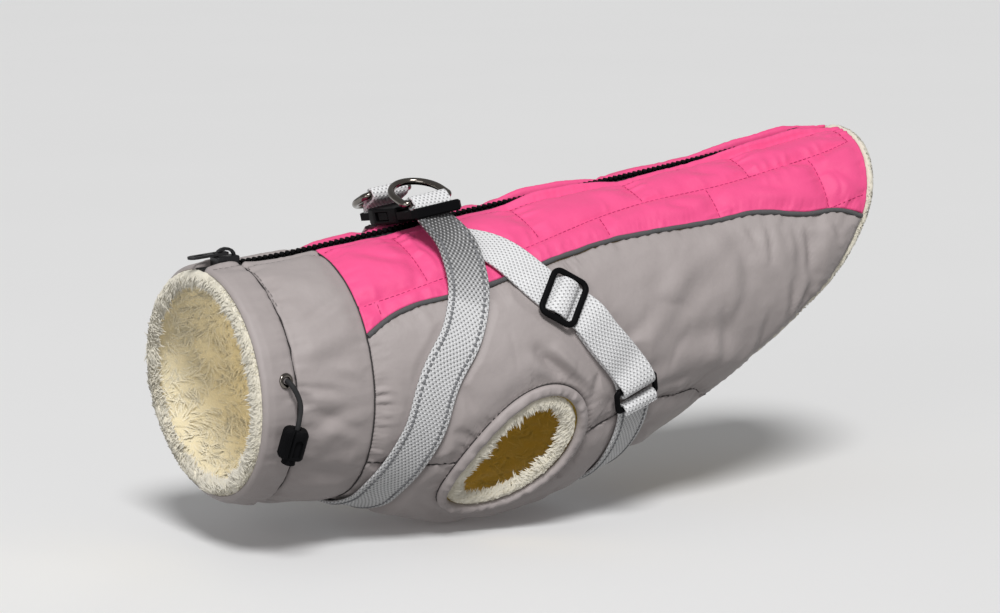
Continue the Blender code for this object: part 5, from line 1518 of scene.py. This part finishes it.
def strap_points(route, path, side, share, height):
    """Places on a strap: each path row by each (share across, share of half the thickness)."""
    beside_along, beside_angle = beside_route(route, path[:, 0])
    face = path[:, None] + height[None, :, None] * half_thickness(path)[:, None]
    along, angle = walk(route, face[..., 0])
    reach = share[None] * WEBBING_WIDTH / 2
    there = on_side(angle + reach * beside_angle[:, None], side)
    middle = surface(along, on_side(angle, side), face[..., 1])
    away = surface(along + reach * beside_along[:, None], there, face[..., 1]) - middle
    length = np.linalg.norm(away, axis=-1, keepdims=True)
    return middle + away * np.abs(reach)[..., None] * MM / np.maximum(length, 1e-9)


def strap_faces(run):
    """A strap's faces, and their places on the webbing: distance down it and round its section."""
    faces, corner = capped(len(run), len(SECTION))
    girth = lengths(SECTION * (WEBBING_WIDTH / 2, WEBBING_THICKNESS / 2))
    girth = np.append(girth, girth[-1] + 1.0)
    return faces, [stacked(run[corner[..., 0]], girth[corner[..., 1]]), np.zeros((2, len(SECTION), 2))]


def make_strap(name, route, path, replaces, side="left", paint="webbing"):
    """The section carried down the path, with its two ends closed; returns the even path."""
    path, run = finer(path)
    faces, uv = strap_faces(run)
    add_piece(name, strap_points(route, path, side, *SECTION.T), faces, paint, replaces, uv)
    return path


def level_path(start, end, drop=None, step=5.0):
    """Even steps down a route at the height of the straps, or at that of a drop table."""
    run = np.linspace(start, end, max(2, round((end - start) / step) + 1))
    lift = STRAP_LIFT if drop is None else np.interp(run, drop["run"], drop["lift"])
    return stacked(run, lift)


def whole_route(route):
    """A left strap's route carried on under the belly to the right flank, and its length."""
    both = {
        "along": np.concatenate([route["along"], route["along"][-2::-1]]),
        "angle": np.concatenate([route["angle"], mirrored(route["angle"][-2::-1])]),
    }
    return both, run_of(both)[-1]

# %% The harness straps
BAR_RUN = run_of(REAR_STRAP)[-1] - RING_LENGTH / 2 + RING_WIRE
TURN_REACH = RING_WIRE + RING_SEAT + SEAM_GAP + WEBBING_THICKNESS / 2


def make_front_strap():
    """From the buckle down the left flank, under the chest and up to the buckle's other end."""
    route, length = whole_route(FRONT_STRAP)
    path = level_path(FRONT_START, length)
    left = np.interp(path[:, 0], FRONT_DROP_LEFT["run"], FRONT_DROP_LEFT["lift"])
    right = np.interp(length - path[:, 0], FRONT_DROP_RIGHT["run"], FRONT_DROP_RIGHT["lift"])
    path[:, 1] = np.where(path[:, 0] < length / 2, left, right)
    return route, make_strap("harness_front", route, path, "strap_front", paint="shaded_open_webbing")


def round_ring_bar(bar, start, end):
    """Places (run, lift) round a joining ring's bar, between two turns in degrees."""
    turns = np.radians(np.linspace(start, end, 12))
    return [(bar + TURN_REACH * math.cos(turn), RING_LIFT + TURN_REACH * math.sin(turn)) for turn in turns]


def make_belly_strap():
    """From one joining ring under the belly to the other, turned round both their bars."""
    route, length = whole_route(BELLY_STRAP)
    bar = RING_LENGTH / 2 - RING_WIRE
    near = round_ring_bar(bar, 60, 270)
    path = [*near, *level_path(bar + 5, length - bar - 5)]
    path += [(length - run, lift) for run, lift in reversed(near)]
    return route, make_strap("harness_belly", route, path, "strap_belly")


def make_rear_straps(side):
    """From the buckle over the adjuster's middle bar to the ring, and the return under it."""
    hump = SLIDER_LIFT - SLIDER_THICKNESS / 2 + SLIDER_MIDDLE_BAR + 2 * SEAM_GAP + WEBBING_THICKNESS / 2
    upper = STRAP_LIFT + WEBBING_THICKNESS + SEAM_GAP
    before = level_path(4.0, SLIDER_AT - SLIDER_LENGTH / 2 - 2, REAR_DROP[side])
    rise = [(7.6, STRAP_LIFT), (5.2, STRAP_LIFT + 0.3), (4.3, hump - 1.9), (2.9, hump - 0.5), (1.2, hump)]
    over = [(SLIDER_AT - away, lift) for away, lift in rise]
    over += [(SLIDER_AT + away, lift) for away, lift in reversed(rise)]
    over.append((SLIDER_AT + 10.5, STRAP_LIFT + 0.4))
    beyond = [(run, upper) for run in np.linspace(SLIDER_AT + 15, BAR_RUN - 9, 4)]
    path = [*before, *over, *beyond, *round_ring_bar(BAR_RUN, 110, -90)]
    make_strap(f"harness_rear_{side}", REAR_STRAP, path, f"strap_rear_{side}", side)
    path = [(run, STRAP_LIFT) for run in np.linspace(SLIDER_AT + 16, BAR_RUN - 1.2, 6)]
    make_strap(f"harness_return_{side}", REAR_STRAP, path, f"strap_return_{side}", side)


sewn_down = [make_front_strap(), make_belly_strap()]
for side in SIDES:
    make_rear_straps(side)
print("straps:", faces_of(*(name for name in made if name.startswith("harness"))))

# %% [markdown]
# ## Hardware
#
# Rings, adjusters and loops are sections carried round closed outlines in frames that lie on the coat or
# stand over the crest of its back.  A frame is a 4 x 4 matrix: its columns are the way ahead, the way
# beside it, the way out and the place.  The outlines are finer than the solids', but they have the same
# middle lines and wires.

# %% Frames
def local_place(along, angle, lift, course=(1.0, 0.0)):
    """A frame on the coat: X along a course given as steps in along and in angle, Z outwards."""
    by_along, by_angle = slopes(along, angle)
    out = Vector(np.cross(by_angle, by_along)).normalized()
    ahead = Vector(by_along * course[0] + by_angle * course[1])
    ahead = (ahead - out * ahead.dot(out)).normalized()
    place = Matrix((ahead, out.cross(ahead), out)).transposed().to_4x4()
    place.translation = Vector(surface(along, angle, lift))
    return place


def strap_place(route, run, lift, side):
    """A frame on a strap: X down the strap, Z outwards."""
    along, angle = (float(v) for v in walk(route, run))
    ahead_along, ahead_angle = (float(v) for v in walk(route, run + 0.5))
    course = (ahead_along - along, ahead_angle - angle)
    if side == "right":
        angle, course = mirrored(angle), (course[0], -course[1])
    return local_place(along, angle, lift, course)


BUCKLE_LONG = 112.0
BUCKLE_TILT, BUCKLE_LIFT, BUCKLE_THICKNESS, BUCKLE_BAR = 8.0, 2.4, 8.0, 3.6
NEAR_BAR, FAR_BAR = -30.0 + BUCKLE_BAR / 2, 32.0 - BUCKLE_BAR / 2


def rig_place(across=0.0, height=0.0, turn=0.0):
    """A frame over the crest of the back at the buckle: X along the back's slope, turned about X."""
    by_along = slopes(BUCKLE_LONG, 0.0)[0]
    pitch = math.atan2(by_along[2], by_along[0])
    base = Matrix.Translation(Vector(form(BUCKLE_LONG, 0.0)) * MM) @ Matrix.Rotation(-pitch, 4, "Y")
    moved = base @ Matrix.Translation(Vector((0.0, across, height)) * MM)
    return moved @ Matrix.Rotation(math.radians(turn), 4, "X")


def placed(points, place):
    """Points in mm in a frame, as metres on the coat."""
    matrix = np.array(place)
    return points.reshape(-1, 3) * MM @ matrix[:3, :3].T + matrix[:3, 3]

# %% Rings
def rounded_outline(length, width, corner, steps=9):
    """An upright rounded rectangle as (x, y) in mm."""
    points = []
    for cx, cy, start in ((1, 1, 0), (-1, 1, 90), (-1, -1, 180), (1, -1, 270)):
        for turn in np.radians(np.linspace(start, start + 90, steps)):
            x = cx * (length / 2 - corner) + corner * math.cos(turn)
            y = cy * (width / 2 - corner) + corner * math.sin(turn)
            points.append((x, y))
    return np.array(points)


def even_outline(outline, count):
    """A closed outline read again at even steps of its length."""
    ring = np.concatenate([outline, outline[:1]])
    length = lengths(ring)
    return places_at(ring, length, np.linspace(0, length[-1], count, endpoint=False))


def carried(name, outline, section, place, paint, replaces, body="coat"):
    """A section of (out, up) rows carried round a flat closed outline that turns to the left."""
    ahead = ahead_round(outline)
    out = stacked(ahead[:, 1], -ahead[:, 0])
    flat = outline[:, None] + out[:, None] * section[None, :, :1]
    height = np.broadcast_to(section[None, :, 1:], (*flat.shape[:2], 1))
    faces, _ = quads(len(outline), len(section), True, True)
    points = placed(np.concatenate([flat, height], axis=-1), place)
    add_piece(name, points, [faces], paint, replaces, body=body)


def circle(turn, radius=1.0):
    """Places (x, y) on a circle at some turns."""
    return radius * stacked(np.cos(turn), np.sin(turn))


D_RING_WIRE, D_RING_HALF_BAR, D_RING_DEPTH, D_RING_CORNER, D_RING_SHOULDER = 1.7, 12.4, 23.5, 2.6, 8.0
LEAD_RINGS = {
    "left": {"across": -19.4, "height": 14.0, "lean": 15.0},
    "right": {"across": 19.5, "height": 14.0, "lean": -22.0},
}
RING_CORNER = 1.6


def d_outline():
    """The D's middle line: the bar on the X axis, round corners, and a half oval as the bow."""
    half, corner = D_RING_HALF_BAR, D_RING_CORNER
    rise = D_RING_DEPTH - D_RING_SHOULDER
    bow = circle(np.linspace(0, math.pi, 49)) * (half, rise) + (0.0, D_RING_SHOULDER)
    right = circle(np.linspace(-math.pi / 2, 0, 9), corner) + (half - corner, corner)
    return even_outline(np.concatenate([right, bow, right[::-1] * (-1, 1)]), 150)


def make_rings(side):
    """A lead ring that stands in its loop, and the flat ring that joins the rear and belly straps."""
    ring = LEAD_RINGS[side]
    place = rig_place(ring["across"], ring["height"], ring["lean"])
    wire = circle(full_turn(18), D_RING_WIRE)
    name = f"lead_ring_{side}"
    carried(f"{name}_wire", d_outline(), wire, place, "gunmetal", f"d_ring_{side}", name)
    place = strap_place(REAR_STRAP, run_of(REAR_STRAP)[-1], RING_LIFT - RING_SEAT, side)
    outline = rounded_outline(RING_LENGTH - 2 * RING_WIRE, RING_WIDTH - 2 * RING_WIRE, RING_CORNER)
    wire = circle(full_turn(14), RING_WIRE)
    carried(f"joining_ring_{side}", even_outline(outline, 96), wire, place, "black_plastic", f"ring_{side}")


for side in SIDES:
    make_rings(side)
print("rings:", faces_of("lead_ring_left_wire", "joining_ring_left"))

# %% Slide adjusters
def make_adjuster(side):
    """A frame with soft edges round the strap, and a thin bar across its middle."""
    place = strap_place(REAR_STRAP, SLIDER_AT, SLIDER_LIFT, side)
    outline = rounded_outline(SLIDER_LENGTH - SLIDER_BAR, SLIDER_WIDTH - SLIDER_BAR, 3.6)
    section = rounded_outline(SLIDER_BAR, SLIDER_THICKNESS, 1.1, 5)
    carried(f"adjuster_{side}", even_outline(outline, 110), section, place, "black_plastic", f"slider_{side}")
    reach = (SLIDER_WIDTH - SLIDER_BAR) / 2
    y = np.linspace(-reach, reach, 12)
    bar = rounded_outline(SLIDER_BAR, SLIDER_MIDDLE_BAR, 0.6, 4)
    low = (SLIDER_MIDDLE_BAR - SLIDER_THICKNESS) / 2
    points = placed(stacked(bar[:, 0], y[:, None], low + bar[:, 1]), place)
    add_piece(f"adjuster_bar_{side}", points, capped(len(y), len(bar))[0], "black_plastic")


for side in SIDES:
    make_adjuster(side)
print("adjusters:", faces_of("adjuster_left", "adjuster_bar_left"))

# %% [markdown]
# The short loops that hold the lead rings are webbing too.  Each goes over its ring's bar, and both its
# legs pass down through the slot beside the buckle's bar, so its path is an arc between two tangents.

# %% Ring loops
LOOP_FOOT, LOOP_KNEE = 2.4, 7.1


def tangent(centre, reach, place, way):
    """The turn at which a line from a place touches a circle, on the side given by way."""
    line = place - centre
    return math.atan2(line[1], line[0]) + way * math.acos(reach / np.hypot(*line))


def make_ring_loop(side):
    """Webbing from the slot beside the buckle's bar up over the ring's bar and down again."""
    ring = LEAD_RINGS[side]
    bar, way = (NEAR_BAR, 1) if side == "left" else (FAR_BAR, -1)
    tilt = math.radians(-BUCKLE_TILT)
    seat = SEAM_GAP + WEBBING_THICKNESS / 2
    outer = bar + way * (BUCKLE_BAR / 2 + seat)
    inner = outer + way * (WEBBING_THICKNESS + SEAM_GAP)
    legs = np.array([(outer, LOOP_FOOT), (outer, LOOP_KNEE), (inner, LOOP_KNEE), (inner, LOOP_FOOT)])
    turned = np.array([[math.cos(tilt), math.sin(tilt)], [-math.sin(tilt), math.cos(tilt)]])
    legs = legs @ turned + (0.0, BUCKLE_LIFT)
    pivot = np.array([ring["across"], ring["height"]])
    reach = D_RING_WIRE + seat
    start, end = tangent(pivot, reach, legs[1], -way), tangent(pivot, reach, legs[2], way)
    turn = start - way * np.linspace(0, np.mod(way * (start - end), 2 * math.pi), 17)
    over = pivot + circle(turn, reach)
    path, run = finer(np.concatenate([legs[:2], over, legs[2:]]), 0.7)
    face = path[:, None] + half_thickness(path)[:, None] * SECTION[None, :, 1:]
    x = np.broadcast_to(SECTION[None, :, :1] * (WEBBING_WIDTH / 2 - 0.2), (*face.shape[:2], 1))
    faces, uv = strap_faces(run)
    points = placed(np.concatenate([x, face], axis=-1), rig_place())
    add_piece(f"lead_loop_{side}", points, faces, "webbing", f"ring_loop_{side}", uv)


for side in SIDES:
    make_ring_loop(side)
print("loops:", faces_of("lead_loop_left", "lead_loop_right"))

# %% [markdown]
# ## Zip
#
# The zip's chain is moulded teeth that lock from both sides, and its tape is a woven band.  A tooth is
# repeated more than two hundred times, so it has only a few dozen faces: a rounded block stamped into
# frames that stand down the back, every second one on the other side of the middle.

# %% Stamps
def stamp(name, shape, faces, origin, ahead, beside, out, paint, replaces=()):
    """Copies of a small shape: origin + x ahead + y beside + z out for every frame, shape in mm."""
    axes = np.stack([ahead, beside, out], axis=1) * MM
    points = origin[:, None] + np.einsum("pk,nkc->npc", shape, axes)
    shift = len(shape) * np.arange(len(origin))[:, None, None]
    rows = [(np.asarray(group)[None] + shift).reshape(-1, np.asarray(group).shape[1]) for group in faces]
    return add_piece(name, points, rows, paint, replaces)


def lozenge(length, width, height, sides=6):
    """A rounded bar along X: four ovals, the outer two smaller, and its faces."""
    turn = full_turn(sides)
    size = np.array([0.4, 1.0, 1.0, 0.4])[:, None]
    x = np.array([-0.5, -0.34, 0.34, 0.5])[:, None] * length
    y, z = size * width / 2 * np.cos(turn), size * height / 2 * np.sin(turn)
    return stacked(x, y, z).reshape(-1, 3), capped(4, sides)[0]


def frames_at(along, angle, lift, course_along, course_angle):
    """Places and unit axes on the coat: ahead by a course, out by the normal."""
    by_along, by_angle = slopes(along, angle)
    out = outwards(along, angle)
    ahead = unit(by_along * course_along[:, None] + by_angle * course_angle[:, None])
    return surface(along, angle, lift), ahead, np.cross(out, ahead), out

# %% Teeth and tape
ZIP_END, ZIP_START = 342.0, 20.0
TAPE_HALF, TAPE_LOW, TAPE_HIGH = 4.7, -2.4, -1.5
TAPE_ROWS, TAPE_COLUMNS = 200, 15
TOOTH_PITCH, TOOTH_SETBACK, TOOTH_LIFT = 2.9, 1.15, -0.05
TOOTH_SIZE, TOOTH_SIDES = (3.5, 1.75, 2.2), 8
TOOTH_FLOOR, TOOTH_TOP = -1.1, 0.95


def make_teeth():
    """Teeth at half their pitch, each on the other side of the middle than the one before."""
    along = np.arange(ZIP_START, ZIP_END - 8.0, TOOTH_PITCH / 2)
    way = np.where(np.arange(len(along)) % 2, 1.0, -1.0)
    across = over_half_width(TOOTH_SETBACK * way, along)
    frames = frames_at(along, across, TOOTH_LIFT, 0 * along, 1 + 0 * along)
    shape, faces = lozenge(*TOOTH_SIZE, TOOTH_SIDES)
    shape[:, 2] = np.clip(shape[:, 2], TOOTH_FLOOR, TOOTH_TOP)
    stamp("zip_teeth", shape, faces, *frames, "black_plastic", "zip_chain")
    return len(along)


def make_tape():
    """A flat woven band with a slightly raised cord under each row of teeth."""
    along = np.linspace(0.0, ZIP_END, TAPE_ROWS)[:, None]
    share = np.linspace(-1, 1, TAPE_COLUMNS)
    half = over_half_width(TAPE_HALF, along)
    cord_ridge = 0.3 * np.exp(-(((np.abs(share) - 0.45) / 0.12) ** 2))
    upper = surface(along, half * share, TAPE_HIGH + cord_ridge)
    lower = surface(along, half * share[::-1], TAPE_LOW)
    faces, corner = capped(TAPE_ROWS, 2 * TAPE_COLUMNS)
    uv = [corner * np.array([ZIP_END / TAPE_ROWS, 0.63]), np.zeros((2, 2 * TAPE_COLUMNS, 2))]
    add_piece("zip_tape_band", np.concatenate([upper, lower], axis=1), faces, "zip_tape", "zip_tape", uv)


print("teeth:", make_teeth())
make_tape()

# %% [markdown]
# ## Hard parts
#
# The buckle, the zip's slider, pull and stop and the lock's plunger already have their true shapes in the
# frame.  Only their edges are too crisp for moulded plastic.  A copy of such a solid is loose triangles,
# so its doubled points are merged and its flat faces dissolved first; then a small bevel rounds every
# edge that is left.

# %% Softened copies
CRISP = 0.45  # edges that turn by more than this (radians) are rounded


def softened(name, node, paint, width, body="coat"):
    """A copy of a solid with its flat faces merged and its edges rounded by a bevel of some mm."""
    shape = bmesh.new()
    shape.from_mesh(bpy.data.objects[node].data)
    bmesh.ops.remove_doubles(shape, verts=shape.verts, dist=2e-6)
    bmesh.ops.dissolve_limit(shape, angle_limit=math.radians(3), verts=shape.verts, edges=shape.edges)
    crisp = [line for line in shape.edges if len(line.link_faces) == 2 and line.calc_face_angle() > CRISP]
    bmesh.ops.bevel(
        shape, geom=crisp, offset=width * MM, segments=2, profile=0.5, affect="EDGES", clamp_overlap=True
    )
    mesh = bpy.data.meshes.new(name)
    shape.to_mesh(mesh)
    shape.free()
    mesh.shade_smooth()
    normals = np.zeros((len(mesh.vertices), 3))
    for face in mesh.polygons:
        normals[list(face.vertices)] += np.array(face.normal) * face.area  # large flat faces stay flat
    mesh.normals_split_custom_set_from_vertices((normals + (0, 0, 1e-12)).tolist())
    dress(new_object(name, mesh), paint, node, body)


SOFTENED = (
    # name, solid, finish, bevel in mm, body
    ("buckle_housing", "buckle_female", "black_plastic", 0.35, "coat"),
    ("buckle_frame", "buckle_male", "black_plastic", 0.35, "coat"),
    ("zip_slider_body", "zip_slider", "black_metal", 0.2, "coat"),
    ("zip_pull_tab", "zip_pull", "black_metal", 0.25, "pull"),
    ("zip_end_stop", "zip_stop", "black_plastic", 0.3, "coat"),
    ("lock_plunger", "cord_lock_plunger", "black_plastic", 0.3, "plunger"),
)
for row in SOFTENED:
    softened(*row)
print("softened:", faces_of(*(row[0] for row in SOFTENED)))

# %% [markdown]
# ### Eyelet and cord lock
#
# The eyelet is a pressed metal ring: a small profile turned about its axis.  The lock is a barrel whose
# section is a rounded oblong: ribs along one side give the fingers grip, a groove parts them from the
# block beside them, and an arched recess is sunk there by lowering the grid points inside the arch.

# %% Eyelet and lock
EYELET_PLACE, EYELET_LIFT, EYELET_PLACES = (11.5, 80.0), 1.1, 40
EYELET_PROFILE = table(
    "radius height", (1.7, 0), (3.6, 0), (3.65, 0.3), (3.3, 0.75), (2.7, 1.0), (2.1, 0.9), (1.75, 0.5)
)
LOCK_PLACE, LOCK_LIFT, LOCK_ROLL, LOCK_COURSE = (11.5, 106.5), 6.9, 25.0, (-0.17, 0.95)
LOCK_LENGTH, LOCK_WIDTH, LOCK_DEPTH, LOCK_CORNER = 14.0, 11.5, 9.0, 3.4
LOCK_ROWS, LOCK_SIDES = 52, 144
CORD_HOLE_RADIUS, CORD_HOLE_DEPTH = 1.7, 6.8
PLUNGER_RADIUS, PLUNGER_FLOOR = 3.3, 0.9
RIBS, RIB_HEIGHT = 20, 0.3
GROOVE_AT, GROOVE_WIDTH, GROOVE_DEPTH = -1.2, 0.5, 1.2
ARCH_MIDDLE, ARCH_TOP, ARCH_RADIUS, ARCH_DEPTH = 1.9, -1.2, 1.75, 1.2
TAIL_LENGTH, TAIL_TAPER, HEAD_LENGTH, HEAD_TAPER = 2.2, 0.22, 1.4, 0.1


def make_eyelet():
    """The profile turned about the eyelet's axis."""
    turn = full_turn(EYELET_PLACES)[:, None]
    radius, height = EYELET_PROFILE["radius"], EYELET_PROFILE["height"]
    points = stacked(radius * np.cos(turn), radius * np.sin(turn), height)
    faces, _ = quads(EYELET_PLACES, len(radius), True, True)
    points = placed(points, local_place(*EYELET_PLACE, EYELET_LIFT))
    add_piece("eyelet_ring", points, [faces], "gunmetal", "eyelet")


def lock_outline():
    """The barrel's section: a rounded oblong with ribs on one side and a groove beside them."""
    outline = even_outline(rounded_outline(LOCK_WIDTH, LOCK_DEPTH, LOCK_CORNER, 12), LOCK_SIDES)
    ribs = RIB_HEIGHT * np.sin(np.linspace(0, 2 * math.pi * RIBS, LOCK_SIDES)) * (outline[:, 0] < GROOVE_AT)
    outline = outline * (1 + ribs / np.linalg.norm(outline, axis=1))[:, None]
    groove = np.exp(-(((outline[:, 0] - GROOVE_AT) / GROOVE_WIDTH) ** 2))
    outline[:, 1] -= GROOVE_DEPTH * groove * (outline[:, 1] > 0)
    return outline


def make_lock():
    """The cord's hole, the barrel's outside and the plunger's socket as one open tube, capped inside."""
    half = LOCK_LENGTH / 2
    x = np.linspace(-half, half, LOCK_ROWS)[:, None]
    outline = lock_outline()
    tail = TAIL_TAPER * np.clip((TAIL_LENGTH - half - x) / TAIL_LENGTH, 0, 1) ** 2
    head = HEAD_TAPER * np.clip((x - half + HEAD_LENGTH) / HEAD_LENGTH, 0, 1) ** 2
    body = outline[None] * (1 - tail - head)[..., None]
    arch = np.hypot(body[..., 0] - ARCH_MIDDLE, np.minimum(x - ARCH_TOP, 0))
    body[..., 1] -= ARCH_DEPTH * ((arch < ARCH_RADIUS) & (x < half - HEAD_LENGTH) & (body[..., 1] > 0))
    barrel = stacked(x, body[..., 0], body[..., 1])
    ring = circle(np.arctan2(outline[:, 1], outline[:, 0]))

    def hole(radius, *depths):
        """Rings of a round hole at some depths."""
        return np.stack([np.column_stack([np.full(LOCK_SIDES, depth), ring * radius]) for depth in depths])

    cord_hole = hole(CORD_HOLE_RADIUS, CORD_HOLE_DEPTH - half, -half)
    socket = hole(PLUNGER_RADIUS + SEAM_GAP, half, PLUNGER_FLOOR)
    grid = np.concatenate([cord_hole, barrel, socket])
    place = local_place(*LOCK_PLACE, LOCK_LIFT, LOCK_COURSE)
    place = place @ Matrix.Rotation(math.radians(LOCK_ROLL), 4, "X")
    faces, _ = capped(len(grid), LOCK_SIDES)
    add_piece("lock_barrel", placed(grid, place), faces, "black_plastic", "cord_lock", sharp=40)


make_eyelet()
make_lock()
print("eyelet and lock:", faces_of("eyelet_ring", "lock_barrel"))

# %% [markdown]
# ## Stitches
#
# A seam only looks sewn when its thread shows.  A stitch is a small lozenge, stamped at an even pitch
# along each seam and lying in its course on the very relief of the panel, so it sinks with the valley
# that it makes.

# %% Thread
def stitches(name, lines, paint, pitch=3.0, length=2.2, thick=0.42):
    """Lozenges along lines of (along, angle, lift), resampled at even steps."""
    parts = []
    for along, angle, lift in lines:
        along, angle, lift = np.broadcast_arrays(along * 1.0, angle, lift)
        run = lengths(surface(along, angle, lift)) / MM
        at = np.arange(pitch / 2, run[-1], pitch)
        rows = [np.interp(at, run, values) for values in (along, angle, lift)]
        rows += [np.interp(at, run, np.gradient(values, run)) for values in (along, angle)]
        parts.append(np.stack(rows))
    along, angle, lift, step_along, step_angle = np.concatenate(parts, axis=1)
    shape, faces = lozenge(length, thick, thick * 0.8)
    stamp(name, shape, faces, *frames_at(along, angle, lift + 0.12, step_along, step_angle), paint)


def both(along, angle, lift):
    """A line on the left flank and its mirror."""
    return [(along, angle, lift), (along, mirrored(angle), lift)]


def relief_lines(relief, along, angle, *more):
    """A line and its mirror, with the lift that a panel's relief has there."""
    along, angle = stacked(along, angle).T
    return both(along, angle, relief(along[None], angle[None], *more)[0])


def beside_zip(relief, start, end, *more):
    """The stitch line beside the zip, between two distances from the neck edge."""
    down = np.arange(start, end, 1.0)
    return relief_lines(relief, down, zip_edge(down) + ZIP_STITCH / MM_PER_DEGREE, *more)


def quilt_lines():
    """The long line down the back, the line beside the zip, the cross lines and one at the hem."""
    down = np.arange(COLLAR_SEAM + 2, 357.0, 1.0)
    lines = relief_lines(quilt_relief, down, read(QUILT_LINE, "angle", down), saddle_border)
    lines += beside_zip(quilt_relief, down[0], 357.0, saddle_border)
    for start, upper in ((UPPER_ROW_START, True), (LOWER_ROW_START, False)):
        for cross in np.arange(start, LAST_CROSS_LINE + 1, QUILT_PITCH):
            line = float(read(QUILT_LINE, "angle", cross))
            if upper:
                ends = float(zip_edge(cross)) + 6.5, line - 1.0
            else:
                ends = line + 1.0, float(read(PIPING, "angle", min(cross, PIPING_END))) - 2.5
            lines += relief_lines(quilt_relief, cross, np.linspace(*ends, 40), saddle_border)
    return lines + relief_lines(quilt_relief, np.arange(321.0, 351.0, 1.0), 65.0, saddle_border)


stitches("stitches_back", quilt_lines(), "thread_pink")
grey = relief_lines(collar_relief, CHANNEL_SEAM + 1.1, np.linspace(8.0, 42.0, 70))
grey += beside_zip(collar_relief, CHANNEL_SEAM + 1.5, COLLAR_SEAM - 1)
grey += beside_zip(band_relief, 1.5, CHANNEL_SEAM - 1)
stitches("stitches_neck", grey, "thread_grey")

# %% Seam threads that paint the seams' shadow
# Painted shadow: a thick, near-black thread down the neck, collar and belly seams and round the armholes
# stands for the dark shade in each seam's gap.
round_coat = np.linspace(7.0, 353.0, 900)
seams = [
    (CHANNEL_SEAM + 0.5 * ripple(round_coat / 5, 0.0, 171), round_coat, -1.4),
    (COLLAR_SEAM + 0.2 * ripple(round_coat / 5, 0.0, 172), round_coat, -1.35),
]
counts = (60, 161, 100)
for upper in (True, False):
    line = flank_edge(COLLAR_SEAM + 1.0, CUFF_WIDTH + 0.15, 0.0, upper, counts)
    if not upper:
        line = line[counts[0]:counts[0] + counts[1]]  # only the armhole: the rest is the same seam
    seams += both(line[:, 0], line[:, 1], -1.25)
stitches("stitches_seams", seams, "thread_seam", 1.5, 2.4, 0.8)

# %% Strap stitches
STITCH_SHARE, STITCH_HEIGHT = np.array([-0.74, 0.74]), np.array([1.15, 1.15])


def strap_stitches():
    """Two bold rows on the straps that are sewn down all along, just inside their edges."""
    rows = []
    for route, path in sewn_down:
        length = lengths(path)
        at = np.arange(2.0, length[-1] - 1, 2.5)
        here, further = places_at(path, length, at), places_at(path, length, at + 0.4)
        top = strap_points(route, here, "left", STITCH_SHARE, STITCH_HEIGHT)
        there = strap_points(route, further, "left", STITCH_SHARE, STITCH_HEIGHT)
        below = strap_points(route, here, "left", STITCH_SHARE, STITCH_HEIGHT * 0)
        rows.append(np.stack([top, there - top, top - below]).reshape(3, -1, 3))
    origin, ahead, out = np.concatenate(rows, axis=1)
    ahead = unit(ahead)
    out = unit(out - ahead * (out * ahead).sum(axis=1, keepdims=True))
    shape, faces = lozenge(1.9, 1.35, 0.6)
    stamp("stitches_straps", shape, faces, origin, ahead, np.cross(out, ahead), out, "thread_dark")


strap_stitches()
print("stitches:", [len(made[name].data.vertices) // 24 for name in made if name.startswith("stitches")])

# %% [markdown]
# ## Cloth and cord as they were cut
#
# Every piece of cloth was flat before it was sewn, the drawcord was cut to a length, and a cuff is a
# folded strip as long as its armhole; no cut sizes are worked out here.

# %% [markdown]
# ## The table and the last look
#
# The floor is a plain pale plate well past the camera's view.  It is staging and not part of the coat.

# %% Floor and finish
plate = bpy.data.meshes.new("floor")
plate.from_pydata([(-6, -6, FLOOR), (6, -6, FLOOR), (6, 6, FLOOR), (-6, 6, FLOOR)], [], [(0, 1, 2, 3)])
plate.materials.append(finishes["floor"])
floor = new_object("floor", plate)

floor.visible_diffuse = False  # a white table would light the belly from below
floor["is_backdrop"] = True

visual_box = [[float(value) for value in corner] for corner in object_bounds()]
grown = [[round((b - a) / MM, 2) for a, b in zip(*pair)] for pair in zip(cad_box, visual_box)]
print("pieces:", len(made), "visual box past the frame's, in mm:", grown)
